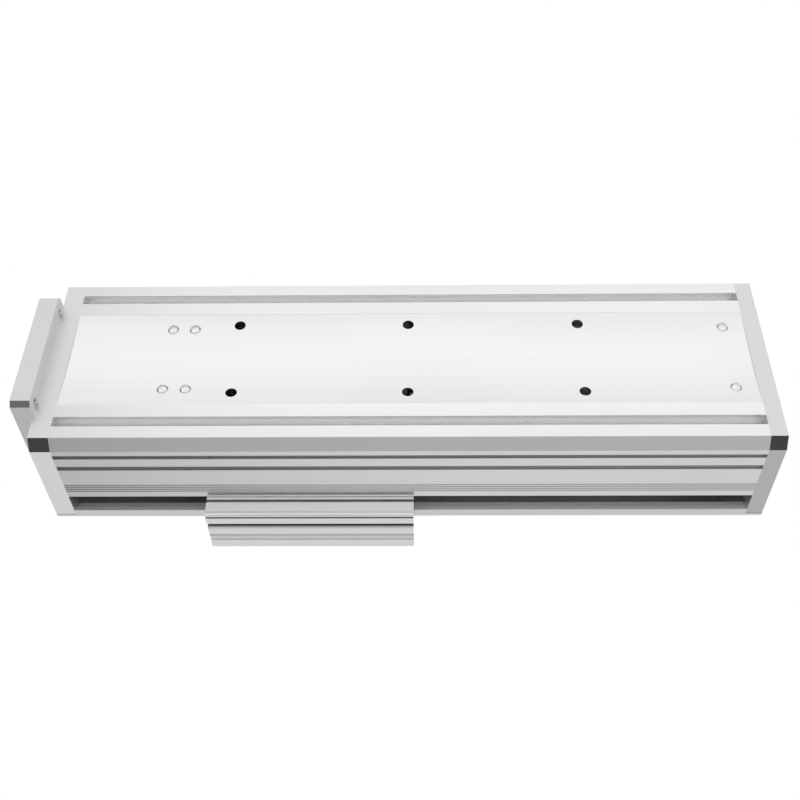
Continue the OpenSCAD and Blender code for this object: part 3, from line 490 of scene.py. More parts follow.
def dish_form(finish):
    y, z = finish.split(finish.place())[1:]
    looks_down = finish.facing()[2].below(-0.96, 0.02)
    dish = y.size().below(DISH_HALF * MM, 0.05 * MM) * z.below(DISH_CEILING * MM, 0.1 * MM)
    radius = (DISH_HALF ** 2 + DISH_DEPTH ** 2) / (2 * DISH_DEPTH) * MM
    bowl = finish.unit(finish.node("CombineXYZ", None, {0: 0.0, 1: y * (-1.0 / radius), 2: -1.0}))
    plain = finish.node("NewGeometry", out="Normal")
    sockets = {0: dish * looks_down, 4: plain, 5: bowl}
    return finish.node("Mix", {"data_type": "VECTOR"}, sockets, out=1)


print("the dish is", 2 * DISH_HALF, "mm wide and curves in by", DISH_DEPTH, "mm")

# %% [markdown]
# ## The cover and the end plates
#
# The cover's underside is seen through the side slots. Only its outer strip gets light from
# them, so that strip gets painted light, a little less on its lip and fading towards the motor,
# and the rest gets painted shade. A lamp in each slot could do this, but it would light the rails
# as well. The end plates show a thin joint, a line of painted shade where the cover lies on them.

# %% Painted light and shade on the cover and the plates
# Distances from the middle, in mm, and how much painted light or shade each strip gets
LIT_FROM = 54.4
LIP_FROM = 59.5
STRIP_PAINTED_LIGHT = 0.84
LIP_LOSS = 0.42
DIM_PAINTED_LIGHT = 0.03
DIM_PAINTED_SHADE = 0.3
# The joint: its height over the foot of the cover, its half width and its depth of painted shade
COVER_JOINT = (3.9, 0.35, 0.8)


def cover_light_and_shade(finish):
    down = finish.facing()[2].below(-0.5, 0.1)
    side = finish.split(finish.place())[1].size()
    strip = side.above(LIT_FROM * MM, 0.4 * MM)
    lip = side.above(LIP_FROM * MM, 0.2 * MM)
    # Painted light on the outer strip, less on the lip and towards the motor; painted shade
    # inside
    lit = strip * STRIP_PAINTED_LIGHT - lip * LIP_LOSS + DIM_PAINTED_LIGHT
    thick = toward_motor(finish)
    return down * lit * (1.0 - thick * thick * 0.4), down * (1.0 - strip) * DIM_PAINTED_SHADE


def plate_light_and_shade(finish):
    z = finish.split(finish.place())[2]
    # Painted shade along the joint under the cover
    rise, half, depth = COVER_JOINT
    return 0.0, banded(z, [(low("top_cover").z / MM + rise, half, depth)])


print("the cover's joint is", COVER_JOINT[0], "mm over its foot")

# %% [markdown]
# ## The carriage
#
# The carriage is a stack of three pieces that are screwed together. The joints between them
# and the grooves in their sides get a painted shade, and so does the relief under each wing. Gaps
# could be modelled, but gaps this thin flicker as the view moves, and a soft band doesn't. The
# wing's underside gets little light, so it gets a little painted light.

# %% Where the carriage gets painted light and shade
# Grooves that are set in from the side face, and joints that reach it, as bands of height
CARRIAGE_GROOVES = [(54.5, 0.8, 0.95), (63.0, 1.25, 0.84)]
CARRIAGE_JOINTS = [(64.4, 0.3, 0.55), (72.4, 1.1, 0.45), (74.3, 1.0, 0.25), (77.4, 0.5, 0.1)]
# The relief: how far in from the rim it lies, its half width and depth, and where it ends
WING_RELIEF = (10.0, 1.05, 0.8)
RELIEF_TOP = 52.9
# How much painted light the wing's underside gets
UNDERSIDE_PAINTED_LIGHT = 0.55


def carriage_light_and_shade(finish):
    y, z = finish.split(finish.place())[1:]
    side = y.size()
    rim = high("table_plate").y
    outer = side.above(rim - SIDE_SKIN * MM, 0.1 * MM)
    set_in = side.below(rim - 0.3 * MM, 0.1 * MM)
    inset, half, depth = WING_RELIEF
    relief = banded(side, [(rim / MM - inset, half, depth)]) * z.below(RELIEF_TOP * MM, 0.1 * MM)
    # Painted shade in the relief, the joints and the set-in grooves; painted light under the wing
    lines = banded(z, CARRIAGE_JOINTS) + banded(z, CARRIAGE_GROOVES) * set_in
    looks_down = finish.facing()[2].below(-0.9, 0.05)
    return looks_down * UNDERSIDE_PAINTED_LIGHT * (1.0 - outer * set_in), relief + outer * lines


print("carriage joints at", [line[0] for line in CARRIAGE_JOINTS], "mm")

# %% [markdown]
# ## Ground steel
#
# The rails and the guide blocks are ground steel. Grinding leaves short scratches along the
# rail, so the pattern is drawn out along X, but less than the lines of an extrusion.

# %% Ground steel
GRINDING = (60, 2600, 2600)


def ground(name, tone, matt):
    finish = Finish(name, Metallic=1.0)
    scratches = finish.noise(finish.stretched(*GRINDING), detail=4.0, roughness=0.65)
    cloud = finish.noise(finish.stretched(40, 40, 40), detail=3.0)
    colour = finish.mixed(cloud, grey(tone * 0.93, 0.004), grey(tone * 1.06, -0.004))
    rough = matt + (scratches - 0.5) * 0.14 + (cloud - 0.5) * 0.06
    relief = finish.bumped(scratches, 0.006 * MM, 0.6)
    return finish.paint(Base_Color=colour, Roughness=rough, Normal=relief)


print("grinding stretched by", GRINDING)

# %% [markdown]
# ## Turned metal
#
# Shafts, nuts, collars and screws come off a lathe, which leaves rings round the axis. All the
# turned pieces here lie along X or are too small for their rings to show, so one pattern with
# its fine scale along X serves them all. The tips of the supports' screws are cut clean in the
# mounting face, and so they are paler than the rest of the screw.

# %% Turned steel, aluminium or brass
TURNING = (2200, 40, 40)
CLEAN_CUT = 0.94


def turned(name, tone, matt, warmth=0.0, pale_below=None):
    finish = Finish(name, Metallic=1.0)
    rings = finish.noise(finish.stretched(*TURNING), detail=3.0, roughness=0.6)
    cloud = finish.noise(finish.stretched(90, 90, 90), detail=2.0)
    colour = finish.mixed(cloud, grey(tone * 0.94, warmth), grey(tone * 1.05, warmth))
    rough = matt + (rings - 0.5) * 0.12 + (cloud - 0.5) * 0.05
    if pale_below is not None:
        tips = finish.split(finish.place())[2].below(pale_below * MM, 0.2 * MM)
        colour = finish.mixed(tips, colour, grey(CLEAN_CUT))
    relief = finish.bumped(rings, 0.006 * MM, 0.6)
    return finish.paint(Base_Color=colour, Roughness=rough, Normal=relief)


print("turning stretched by", TURNING)

# %% [markdown]
# ## Black oxide
#
# The bearing supports and the black screws are blackened in a hot bath and oiled. The film is
# thin and the steel shines through it, so it is half a metal: dark, with an oily gloss that
# changes from place to place.

# %% Black oxide
def oxide(name, tone=0.035, matt=0.38):
    finish = Finish(name, Metallic=0.55)
    finish.feed(finish.shader, {"Specular IOR Level": 0.5})
    grain = finish.noise(finish.stretched(1800, 1800, 1800), detail=3.0)
    cloud = finish.noise(finish.stretched(120, 120, 120), detail=4.0)
    colour = finish.mixed(cloud, grey(tone * 0.7, -0.03), grey(tone * 1.5, 0.05))
    rough = matt + (cloud - 0.5) * 0.22 + (grain - 0.5) * 0.08
    relief = finish.bumped(grain, 0.01 * MM, 0.6)
    return finish.paint(Base_Color=colour, Roughness=rough, Normal=relief)


print("oxide ready")

# %% [markdown]
# ## Rubber and moulded plastic
#
# Seals, buffers, end caps, plugs and the coupling's spider are moulded. A mould gives them a
# fine even grain and no direction, so one finish with a colour and a roughness is enough.

# %% Rubber and moulded plastic
def moulded(name, colour, matt):
    finish = Finish(name, Metallic=0.0)
    grain = finish.noise(finish.stretched(1500, 1500, 1500), detail=3.0)
    cloud = finish.noise(finish.stretched(150, 150, 150), detail=2.0)
    dark = tuple(c * 0.8 for c in colour)
    light = tuple(min(1.0, c * 1.25 + 0.003) for c in colour)
    rough = matt + (cloud - 0.5) * 0.1 + (grain - 0.5) * 0.08
    relief = finish.bumped(grain, 0.012 * MM, 0.7)
    tone = finish.mixed(cloud, dark, light)
    return finish.paint(Base_Color=tone, Roughness=rough, Normal=relief)


print("moulded finish ready")

# %% [markdown]
# ## Dress the solids
#
# The record gives each node a slot, which is the name of its finish. One material is made for
# each slot and shared by all its nodes, so pieces that come from one bar or one bath match.

# %% The aluminium finishes
# Each sides pair is a painted light or shade on upright faces: at the motor's end, at the far end
ALUMINIUM = {
    "body_aluminium": anodised("body_aluminium", 0.90, 0.20, 0.7, bevel_matt=0.42,
                               light_and_shade=base_light_and_shade, form=dish_form),
    "cover_aluminium": anodised("cover_aluminium", 0.84, 0.38, 0.8, light_and_shade=cover_light_and_shade),
    "end_plate_aluminium": anodised("end_plate_aluminium", 0.82, 0.40, 0.25, bevel_matt=0.13,
                                    sides=(0.95, 0.64), light_and_shade=plate_light_and_shade),
    "flange_aluminium": anodised("flange_aluminium", 0.78, 0.40, 0.25, bevel_matt=0.16,
                                 sides=(0.69, 0.69)),
    "carriage_aluminium": anodised("carriage_aluminium", 0.95, 0.34, 0.7,
                                   light_and_shade=carriage_light_and_shade),
    "housing_aluminium": anodised("housing_aluminium", 0.62, 0.36, 0.3),
    "coupling_aluminium": turned("coupling_aluminium", 0.72, 0.30),
}
print("aluminium finishes:", len(ALUMINIUM))

# %% The other finishes, and every solid dressed
SLOTS = {
    **ALUMINIUM,
    "rail_steel": ground("rail_steel", 0.58, 0.22),
    "block_steel": ground("block_steel", 0.55, 0.28),
    "screw_steel": turned("screw_steel", 0.55, 0.2),
    "nut_steel": turned("nut_steel", 0.5, 0.22),
    "bearing_steel": turned("bearing_steel", 0.7, 0.12),
    "support_steel": oxide("support_steel"),
    "collar_steel": turned("collar_steel", 0.36, 0.3),
    "bright_screws": turned("bright_screws", 0.66, 0.26, pale_below=3.0),
    "black_screws": oxide("black_screws", 0.03, 0.34),
    "black_rubber": moulded("black_rubber", (0.022, 0.022, 0.023), 0.6),
    "block_cap_plastic": moulded("block_cap_plastic", (0.03, 0.09, 0.05), 0.42),
    "plug_plastic": moulded("plug_plastic", (0.03, 0.03, 0.03), 0.45),
    "wiper_plastic": moulded("wiper_plastic", (0.7, 0.7, 0.66), 0.4),
    "spider_rubber": moulded("spider_rubber", (0.45, 0.03, 0.02), 0.35),
    "nipple_brass": turned("nipple_brass", 0.62, 0.25, warmth=0.28),
}

for row in record["subparts"]:
    mesh = nodes[row["node"]].data
    mesh.materials.clear()
    mesh.materials.append(SLOTS[row["material_slot"]])
print("dressed", len(nodes), "solids in", len(SLOTS), "finishes")

# %% [markdown]
# ## Broken edges
#
# No machined edge is a perfect corner. A small bevel catches the light along every edge, which
# is what makes a plate read as cut metal. The solids come with their faces unjoined, so a Weld
# modifier joins them first, and a Bevel modifier then rounds only the edges that are sharp.
# Both leave the solid's own mesh as it is. Extruded edges come out of the die a little rounded,
# and milled plates get a slightly wider break.

# %% How wide each solid's edges are broken, in mm
EDGE_BREAK = {
    "base_extrusion": 0.12, "top_cover": 0.2, "motor_end_plate": 0.25, "far_end_plate": 0.25,
    "motor_flange": 0.25, "saddle_plate": 0.12, "left_side_spacer": 0.15,
    "right_side_spacer": 0.15, "table_plate": 0.15, "nut_housing": 0.3, "fixed_support": 0.3,
    "floating_support": 0.3, "fixed_support_lid": 0.3, "left_guide_rail": 0.15,
    "right_guide_rail": 0.15, "left_front_block": 0.25, "left_rear_block": 0.25,
    "right_front_block": 0.25, "right_rear_block": 0.25, "block_end_caps": 0.3,
    "screw_coupling_hub": 0.3, "motor_coupling_hub": 0.3, "coupling_spider": 0.2,
    "ball_nut": 0.25, "lock_nut": 0.2, "shaft_collars": 0.2,
}
SHARP = math.radians(34)
WELD_DISTANCE = 0.001 * MM


def break_edges(piece, width):
    weld = piece.modifiers.new("join_faces", "WELD")
    weld.merge_threshold = WELD_DISTANCE
    bevel = piece.modifiers.new("edge_break", "BEVEL")
    bevel.width = width * MM
    bevel.segments = 2
    bevel.limit_method = "ANGLE"
    bevel.angle_limit = SHARP
    bevel.harden_normals = True
    bevel.loop_slide = False


for name, width in EDGE_BREAK.items():
    break_edges(nodes[name], width)
print("edges broken on", len(EDGE_BREAK), "solids")

# %% [markdown]
# ## Round pieces from rings
#
# Screws, the ball screw and the threads in tapped holes are all round, so one helper makes them:
# it stacks rings of points along an axis and joins each ring to the next. A ring's radius may
# change on the way round. That one freedom gives a knurled head, a hexagon socket and a helical
# groove from the same few lines, and it costs no booleans. A ring is written as how far along
# the axis it lies, and a function that turns an angle into a radius.

# %% Three kinds of ring
def round_ring(radius):
    return lambda angle: radius


def hexagon_ring(across_flats):
    sixth = math.radians(60)
    return lambda angle: across_flats / 2 / math.cos((angle % sixth) - sixth / 2)


def knurled_ring(radius, teeth, depth):
    return lambda angle: radius - depth * (0.5 + 0.5 * math.cos(angle * teeth))


print("a hexagon 4 mm wide reaches", round(hexagon_ring(4)(0.0), 2), "mm at its corners")


# %% A stack of rings
def aimed(origin, toward):
    """A matrix that puts a stack's own first axis along toward, starting at origin."""
    turned_round = Vector((1, 0, 0)).rotation_difference(Vector(toward)).to_matrix().to_4x4()
    return Matrix.Translation(origin) @ turned_round


def stack_rings(shape, place, rings, around, closed=True):
    """Adds rings of so many points around to a bmesh. Place puts the stack in the model."""
    rows = []
    for along, radius in rings:
        row = []
        for step in range(around):
            angle = step / around * 2 * math.pi
            reach = radius(angle)
            point = Vector((along, reach * math.cos(angle), reach * math.sin(angle)))
            row.append(shape.verts.new(place @ point))
        rows.append(row)
    for near, far in zip(rows, rows[1:]):
        for step in range(around):
            after = (step + 1) % around
            shape.faces.new((near[step], near[after], far[after], far[step]))
    if closed:
        shape.faces.new(rows[0][::-1])
        shape.faces.new(rows[-1])


print("ring helpers ready")

# %% [markdown]
# ## From rings to a piece
#
# A piece that is added here belongs to one of the model's bodies and moves with it, and it takes
# the finish of the solid that it stands for. The record says which body and which finish that
# is. Wide angles between faces stay sharp and the rest is shaded smooth, so a turned shoulder
# keeps its edge and a cylinder looks round.

# %% Close a stack into a piece
body_of = {node: body for body, members in record["behaviour"]["bodies"].items()
           for node in members}
slot_of = {row["node"]: row["material_slot"] for row in record["subparts"]}


def finished_piece(name, shape, slot, body, smooth):
    """A piece that rides on a body and takes a slot's finish; smooth is in degrees."""
    bmesh.ops.recalc_face_normals(shape, faces=shape.faces)
    mesh = bpy.data.meshes.new(name)
    shape.to_mesh(mesh)
    shape.free()
    mesh.shade_smooth()
    mesh.set_sharp_from_angle(angle=math.radians(smooth))
    piece = new_object(name, mesh)
    mesh.materials.append(SLOTS[slot])
    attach(piece, body)
    return piece


print("nodes that belong to a body:", len(body_of))

# %% [markdown]
# ## Where the screws sit
#
# A node of screws holds several separate solids. Their places are found by walking the node's
# mesh from face to face until each solid is complete. Its box then gives one screw's centre,
# length and head size, so a new screw lands exactly on the old one.

# %% Boxes of the separate solids in a node
def solids_in(node):
    shape = bmesh.new()
    shape.from_mesh(nodes[node].data)
    bmesh.ops.remove_doubles(shape, verts=shape.verts, dist=WELD_DISTANCE)
    left = set(shape.verts)
    boxes = []
    while left:
        front = [left.pop()]
        solid = []
        while front:
            vert = front.pop()
            solid.append(vert.co.copy())
            for edge in vert.link_edges:
                other = edge.other_vert(vert)
                if other in left:
                    left.remove(other)
                    front.append(other)
        low_corner = Vector([min(p[axis] for p in solid) for axis in range(3)])
        high_corner = Vector([max(p[axis] for p in solid) for axis in range(3)])
        boxes.append((low_corner, high_corner))
    shape.free()
    return boxes


print("rail screws found:", len(solids_in("rail_screws")))

# %% [markdown]
# ## The head of a socket head screw
#
# A socket head screw is forged and then rolled: the head's side is knurled, its rim is
# chamfered, and the hexagon socket has a small countersink and a conical floor. Most of these
# screws sit in pockets, so the head is what shows. Its rings run from the foot of the head up
# over the rim and down into the socket, and each one is a share of the head or of the key.

# %% Rings of a head
KNURL_TEETH = 36
KNURL_SHARE = 0.035
RIM_SHARE = 0.09


def head_rings(top, height, radius, key):
    """Top is where the head ends, and key is the width of the socket across its flats."""
    rim = RIM_SHARE * radius
    knurl = knurled_ring(radius, KNURL_TEETH, KNURL_SHARE * radius)
    socket = hexagon_ring(key)
    return [
        # The foot, and the knurled side
        (top - height, round_ring(radius * 0.9)),
        (top - height, round_ring(radius * 0.97)),
        (top - height * 0.9, knurl),
        (top - rim * 2.4, knurl),
        # The rim, and the flat top
        (top - rim * 1.6, round_ring(radius * 0.985)),
        (top - rim, round_ring(radius * 0.97)),
        (top, round_ring(radius * 0.88)),
        (top, round_ring(key * 0.66)),
        # The countersink, the socket and its conical floor
        (top - 0.08 * key, round_ring(key * 0.585)),
        (top - 0.12 * key, socket),
        (top - height * 0.55, socket),
        (top - height * 0.55, round_ring(key * 0.48)),
        (top - height * 0.62, round_ring(key * 0.05)),
    ]


print("rings in a head:", len(head_rings(1.0, 0.5, 0.4, 0.4)))

# %% [markdown]
# ## The threaded tip
#
# On the two bearing supports the threaded tips show as well, in the mounting face, where the
# last turn of the thread runs out at the chamfer. The thread is a ridge that climbs one pitch
# in each turn, and it fades in over the first pitch.

# %% Rings of a tip
THREAD_DEPTH_IN_PITCHES = 0.6
THREAD_STEPS = 8
TIP_TURNS = 4


def tip_rings(pitch, radius):
    """Rings up a threaded tip: a flat end, a chamfer that the thread runs out on, the thread."""
    depth = THREAD_DEPTH_IN_PITCHES * pitch

    def thread(along):
        def radius_at(angle):
            phase = (along / pitch - angle / (2 * math.pi)) % 1.0
            ridge = 1 - abs(2 * phase - 1)
            fade = min(1.0, max(0.0, along / pitch))
            return radius - depth + depth * ridge * fade
        return radius_at

    heights = [step / THREAD_STEPS * pitch for step in range(1, TIP_TURNS * THREAD_STEPS + 1)]
    flat_end = [(0.0, round_ring(radius * 0.1)), (0.0, round_ring(radius - depth * 1.3))]
    neck = [((TIP_TURNS + 0.2) * pitch, round_ring(radius * 0.99))]
    return flat_end + [(along, thread(along)) for along in heights] + neck


print("rings in a tip:", len(tip_rings(1.0, 2.5)))

# %% [markdown]
# ## A node of screws
#
# Each screw is a head and a shank, stacked apart, because the shank ends inside the head and
# needs fewer points around. The node's boxes give the head's diameter. A socket head screw's
# head is a fixed multiple of its thread, so the thread and the key follow from it.

# %% Make the screws of one node
HEAD_DIAMETER_IN_THREADS = 1.7
SOCKET_IN_THREADS = 0.83
HEAD_AROUND = 72
SHANK_AROUND = 32


def screw_node(node, toward, tip_pitch):
    """Remakes a node of screws. Toward is the way from tip to head; 0 pitch is a plain tip."""
    axis = Vector(toward)
    lane = max(range(3), key=lambda i: abs(axis[i]))
    cross = [i for i in range(3) if i != lane][0]
    shape = bmesh.new()
    for low_corner, high_corner in solids_in(node):
        length = high_corner[lane] - low_corner[lane]
        head = (high_corner[cross] - low_corner[cross]) / 2
        thread = 2 * head / HEAD_DIAMETER_IN_THREADS
        place = aimed((low_corner + high_corner) / 2 - axis * length / 2, toward)
        rings = head_rings(length, thread, head, thread * SOCKET_IN_THREADS)
        stack_rings(shape, place, rings, HEAD_AROUND)
        shank = thread / 2
        rings = [(0.0, round_ring(shank * 0.75)), (0.25 * shank, round_ring(shank * 0.98))]
        if tip_pitch:
            rings = tip_rings(tip_pitch, shank)
        rings.append((length - thread, round_ring(shank * 0.98)))
        stack_rings(shape, place, rings, SHANK_AROUND)
    piece = finished_piece(node + "_turned", shape, slot_of[node], body_of[node], smooth=32)
    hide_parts(node)


print("screw heads have", HEAD_AROUND, "points around")

# %% Make all the screws that show
# Node, the way from tip to head, and the pitch of a tip that shows its thread
SCREWS = [
    ("motor_plate_screws", (-1, 0, 0), 0.0),
    ("far_plate_screws", (1, 0, 0), 0.0),
    ("motor_flange_screws", (-1, 0, 0), 0.0),
    ("fixed_lid_screws", (-1, 0, 0), 0.0),
    ("fixed_support_screws", (0, 0, 1), 1.0 * MM),
    ("floating_support_screws", (0, 0, 1), 1.0 * MM),
    ("table_screws", (0, 0, 1), 0.0),
    ("block_screws", (0, 0, 1), 0.0),
    ("nut_flange_screws", (1, 0, 0), 0.0),
    ("nut_housing_screws", (0, 0, 1), 0.0),
]
for node, toward, tip_pitch in SCREWS:
    screw_node(node, toward, tip_pitch)
print("screws made for", len(SCREWS), "nodes")

# %% [markdown]
# ## The ball screw
#
# A ball screw's groove is a rounded channel a little wider than the ball, ground in one
# continuous helix. It could be swept along a curve, but a ring stack does it in one pass: each
# point's radius depends on how far it has fallen behind the helix. Rings stand a fortieth of
# the lead apart and each has forty points, so the groove's edge runs exactly through the
# points and stays crisp.

# %% The groove
GROOVE_AROUND = 40
GROOVE_HALF = 1.75 * MM
GROOVE_DEPTH = 1.05 * MM
thread_start = high("shaft_collars").x
thread_end = low("floating_inner_ring").x
screw_radius = (high("ball_screw").y - low("ball_screw").y) / 2


def grooved_ring(along):
    """A ring of the screw's thread, shallower in the first and last turn, where it runs out."""
    run_out = min(1.0, (along - thread_start) / lead, (thread_end - along) / lead)

    def radius_at(angle):
        behind = ((along - thread_start) / lead + angle / (2 * math.pi)) % 1.0 - 0.5
        across = abs(behind) * lead
        if across > GROOVE_HALF:
            return screw_radius
        return screw_radius - GROOVE_DEPTH * math.sqrt(1 - (across / GROOVE_HALF) ** 2) * run_out
    return radius_at


print("groove turns:", round((thread_end - thread_start) / lead, 1))

# %% [markdown]
# ## The ends of the ball screw
#
# Beyond its thread the screw is turned down in steps: a seat for the fixed bearings, a journal
# for the coupling, and at the far end a journal with a groove for the circlip. The steps stand
# where the pieces that sit on them begin and end.

# %% Turn the ends and grind the groove
JOURNAL_RADIUS = 5 * MM
SEAT_RADIUS = 6 * MM
CHAMFER = 0.6 * MM
CLIP_GROOVE = 0.2 * MM


def ball_screw():
    drive_end, tail = low("ball_screw").x, high("ball_screw").x
    journal = low("lock_nut").x
    clip_from, clip_to = low("floating_circlip").x, high("floating_circlip").x
    clip_radius = JOURNAL_RADIUS - CLIP_GROOVE
    drive = [(drive_end, JOURNAL_RADIUS - CHAMFER), (drive_end + CHAMFER, JOURNAL_RADIUS),
             (journal, JOURNAL_RADIUS), (journal, SEAT_RADIUS), (thread_start, SEAT_RADIUS),
             (thread_start, screw_radius - CHAMFER)]
    pitch = lead / GROOVE_AROUND
    count = int((thread_end - thread_start - 2 * CHAMFER) / pitch)
    grooved = [thread_start + CHAMFER + step * pitch for step in range(count + 1)]
    far = [(thread_end - 0.3 * CHAMFER, screw_radius), (thread_end, screw_radius - CHAMFER),
           (thread_end, JOURNAL_RADIUS), (clip_from, JOURNAL_RADIUS), (clip_from, clip_radius),
           (clip_to, clip_radius), (clip_to, JOURNAL_RADIUS), (tail - CHAMFER, JOURNAL_RADIUS),
           (tail, JOURNAL_RADIUS - CHAMFER)]
    rings = [(along, round_ring(radius)) for along, radius in drive]
    rings += [(along, grooved_ring(along)) for along in grooved]
    rings += [(along, round_ring(radius)) for along, radius in far]
    shape = bmesh.new()
    stack_rings(shape, aimed(Vector((0, 0, axis_z)), (1, 0, 0)), rings, GROOVE_AROUND)
    piece = finished_piece("ground_ball_screw", shape, "screw_steel", "screw", smooth=28)
    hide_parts("ball_screw")


ball_screw()
print("ball screw made,", round(2 * screw_radius / MM, 1), "mm thick")

# %% [markdown]
# ## Threads in the tapped holes
#
# The holes for the motor's screws and the holes in the table are tapped. The solids have plain
# bores of the drilled size, so each bore gets a thin sleeve whose inside carries the thread.
# The sleeve is the ring stack again, with a helical ridge that points inwards and fades out at
# each mouth.

# %% One threaded sleeve
THREAD_PITCH = 1.0 * MM
THREAD_HEIGHT = 0.38 * MM
SLEEVE_WALL = 0.02 * MM
SLEEVE_AROUND = 24
SLEEVE_STEPS = 6


def thread_sleeve(shape, place, length, radius):
    """Adds a sleeve whose outside nearly fills a bore of this radius."""
    bore = radius - 2 * SLEEVE_WALL

    def ridge(along):
        def radius_at(angle):
            phase = (along / THREAD_PITCH - angle / (2 * math.pi)) % 1.0
            fade = min(1.0, along / THREAD_PITCH, (length - along) / THREAD_PITCH)
            return bore - THREAD_HEIGHT * (1 - abs(2 * phase - 1)) * max(0.0, fade)
        return radius_at

    count = int(length / THREAD_PITCH * SLEEVE_STEPS)
    outside = round_ring(radius - SLEEVE_WALL)
    inside = [(step / count * length, ridge(step / count * length)) for step in range(count + 1)]
    rings = [(length, outside), (0.0, outside)] + inside + [(length, outside)]
    stack_rings(shape, place, rings, SLEEVE_AROUND, closed=False)
    bmesh.ops.remove_doubles(shape, verts=shape.verts, dist=0.0001 * MM)


print("thread pitch", THREAD_PITCH / MM, "mm")

# %% Cut the threads of two hole patterns
SLEEVE_INSET = 0.6 * MM
CORNERS = ((1, 1), (1, -1), (-1, 1), (-1, -1))


def tapped_holes(name, mount, node, inward):
    """One sleeve in each hole of a mount's four-hole pattern, down through its node."""
    row = mounts[mount]
    lane = max(range(3), key=lambda i: abs(inward[i]))
    across = [Vector((1, 0, 0)), Vector((0, 1, 0)), Vector((0, 0, 1))]
    across.pop(lane)
    sides = [row["dims"][key] * MM / 2 for key in ("spacing_x_mm", "spacing_y_mm")]
    depth = high(node)[lane] - low(node)[lane]
    shape = bmesh.new()
    for one, other in CORNERS:
        mouth = Vector(row["pos_m"]) + across[0] * sides[0] * one + across[1] * sides[1] * other
        place = aimed(mouth + Vector(inward) * SLEEVE_INSET, inward)
        thread_sleeve(shape, place, depth - 2 * SLEEVE_INSET, row["dims"]["hole_r_mm"] * MM)
    finished_piece(name, shape, slot_of[node], body_of[node], smooth=60)


tapped_holes("table_threads", "table_holes", "table_plate", (0, 0, -1))
tapped_holes("motor_hole_threads", "motor_screw_holes", "motor_flange", (1, 0, 0))
print("threads cut in", 2 * len(CORNERS), "holes")

# %% [markdown]
# ## The studio
#
# Metal shows what stands round it, so the room matters more than the lamps. This room is a
# round tent of white cloth. It has a brighter strip on the far side, which the mounting face
# reflects, it is dimmer overhead, and it has two dark flags on the camera's side, which the
# bevels reflect. Only reflections see the tent: the camera sees plain white behind the model,
# and matt pieces are lit by the world and by one softbox.
#
# A direction is split into how far round it lies and how far up, both in degrees, so each
# patch of the tent is a product of two soft steps.

# %% Round and up, in degrees
def bearing_and_height(cloth):
    """Where a point of the tent lies: round the room from +Y, and up from the horizon."""
    x, y, z = cloth.split(cloth.unit(cloth.place()))
    bearing = cloth.maths("ARCTAN2", x, y) * math.degrees(1)
    level = cloth.maths("SQRT", x * x + y * y)
    return bearing, cloth.maths("ARCTAN2", z, level) * math.degrees(1)


def patch(bearing, height, centre, reach, blur):
    """1 inside a patch of the tent, 0 outside it, with soft edges. All angles in degrees."""
    across = bearing.near(centre[0], reach[0], blur[0])
    return across * height.near(centre[1], reach[1], blur[1])


print("tent directions ready")

# %% The tent
TENT_RADIUS = 5.0
TENT_OVERHEAD = 0.66
TENT_BELOW = 0.80
HORIZON = (5.0, 20.0)
# The bright strip: where it is (round, up), how far it reaches each way, its blur. It climbs
# towards its ends.
BACK_STRIP = ((0, -49.7), (44, 3.5), (26, 4))
STRIP_CLIMB = 0.15
STRIP_GLOW = 0.37
# The same for each dark flag, and how bright it still is
DARK_FLAGS = [((0, -5), (38, 8), (5, 2.5), 0.03), ((-10, -36), (26, 7), (6, 4), 0.10)]


def tent():
    shape = bmesh.new()
    bmesh.ops.create_uvsphere(shape, u_segments=64, v_segments=32, radius=TENT_RADIUS)
    mesh = bpy.data.meshes.new("tent")
    shape.to_mesh(mesh)
    shape.free()
    cloth = Finish("tent")
    bearing, height = bearing_and_height(cloth)
    level = TENT_BELOW + height.above(*HORIZON) * (TENT_OVERHEAD - TENT_BELOW)
    off_centre = 180.0 - bearing.size()
    strip = patch(off_centre, height - off_centre * STRIP_CLIMB, *BACK_STRIP)
    level = level + strip * STRIP_GLOW
    for centre, reach, blur, dark in DARK_FLAGS:
        flag = patch(bearing, height, centre, reach, blur)
        level = level * (1.0 - flag) + flag * dark
    cloth.shown(cloth.node("Emission", None, {"Color": (1, 1, 1), "Strength": level}))
    mesh.materials.append(cloth.material)
    piece = new_object("tent", mesh)
    piece.visible_camera = False
    piece.visible_diffuse = False
    piece.visible_shadow = False
    piece.visible_transmission = False


tent()
print("tent up, with", len(DARK_FLAGS), "dark flags")

# %% [markdown]
# ## World and softbox
#
# The world is plain white for the camera, for reflections and through anything clear. Its
# strength on matt surfaces is a value of its own, so the backdrop stays white when the light on
# the model is changed. One wide softbox hangs above the module, on the side away from the
# camera, and gives matt pieces a brighter side. A small lamp would do that too, but a wide one
# keeps the edges of the shadows soft.

# %% Light the matt pieces
WORLD_ON_MATT = 1.0
SOFTBOX_PLACE = Vector((0.2, -0.5, 1.3))
SOFTBOX_SIZE = (1.6, 0.7)
SOFTBOX_BRIGHTNESS = 0.8


def studio_world():
    world = bpy.data.worlds.new("studio")
    world.use_nodes = True
    bpy.context.scene.world = world
    room = Nodes(world.node_tree)
    camera_ray, glossy_ray, clear_ray = room.rays("Camera", "Glossy", "Transmission")
    seen = room.maths("MINIMUM", camera_ray + glossy_ray + clear_ray, 1.0)
    strength = WORLD_ON_MATT * (1.0 - seen) + seen
    room.feed(room.tree.nodes["Background"], {"Color": (1, 1, 1), "Strength": strength})


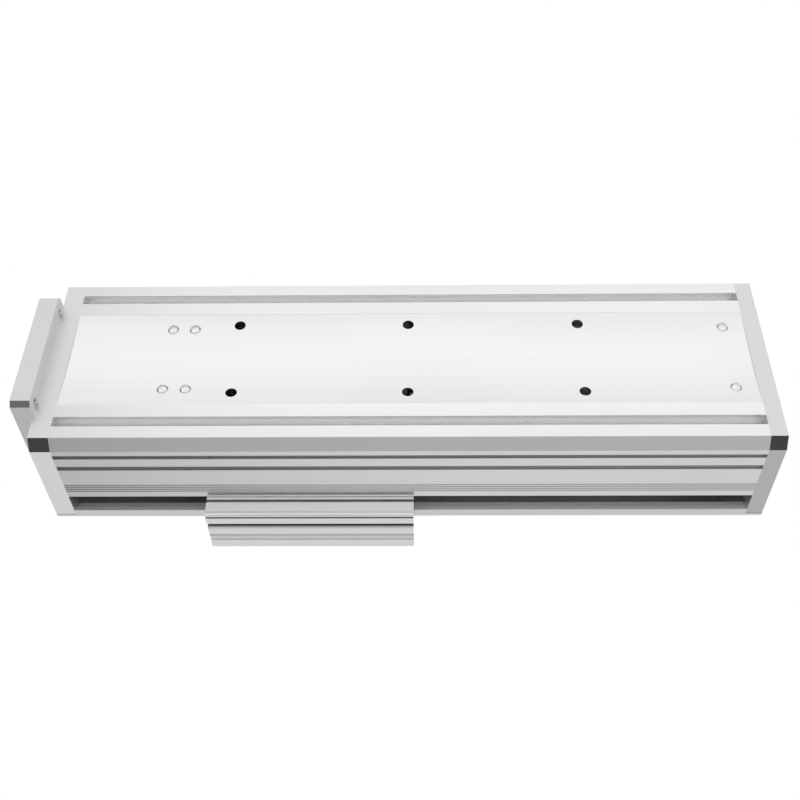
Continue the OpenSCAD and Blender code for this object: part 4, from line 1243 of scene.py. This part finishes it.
def softbox():
    data = bpy.data.lights.new("top_softbox", "AREA")
    data.shape = "RECTANGLE"
    data.size, data.size_y = SOFTBOX_SIZE
    data.energy = SOFTBOX_BRIGHTNESS * math.pi * SOFTBOX_SIZE[0] * SOFTBOX_SIZE[1]
    lamp = new_object("top_softbox", data)
    lamp.location = SOFTBOX_PLACE
    lamp.rotation_mode = "QUATERNION"
    lamp.rotation_quaternion = (-SOFTBOX_PLACE).normalized().to_track_quat("-Z", "Y")


studio_world()
softbox()
print("softbox", round(SOFTBOX_PLACE.length, 2), "m away")

# %% [markdown]
# ## The floor
#
# The floor is pale and matt, and it lies a hair below the mounting face. It fades out with
# distance, so no edge of it shows against the white. Seen from below it is clear, because the
# camera stands there, and only camera rays see it at all, so it never shows in the metal.

# %% Lay the floor
FLOOR_GAP = 0.2
FLOOR_REACH = 3.5
FLOOR_FADE = 0.75


def floor_finish():
    pale = Finish("floor", Roughness=0.9)
    grain = pale.noise(pale.stretched(60, 60, 60), detail=2.0)
    pale.paint(Base_Color=pale.mixed(grain, grey(0.86), grey(0.88)))
    seen = pale.rays("Camera")[0]
    behind = pale.node("NewGeometry", out="Backfacing")
    x, y = pale.split(pale.place())[:2]
    near = pale.maths("SQRT", x * x + y * y).below(FLOOR_FADE, FLOOR_FADE * 0.6)
    clear = pale.node("BsdfTransparent")
    solid = Wire(pale, pale.shader.outputs[0])
    shown = seen * (1.0 - behind) * near
    pale.shown(pale.node("MixShader", None, {0: shown, 1: clear, 2: solid}))
    return pale.material


def pale_floor(height):
    corners = [(x * FLOOR_REACH, y * FLOOR_REACH, height)
               for x, y in ((-1, -1), (1, -1), (1, 1), (-1, 1))]
    mesh = bpy.data.meshes.new("floor")
    mesh.from_pydata(corners, [], [(0, 1, 2, 3)])
    mesh.materials.append(floor_finish())
    floor = new_object("floor", mesh)


pale_floor(cad_box[0].z - FLOOR_GAP * MM)
print("studio lit, floor at", round(cad_box[0].z / MM - FLOOR_GAP, 2), "mm")
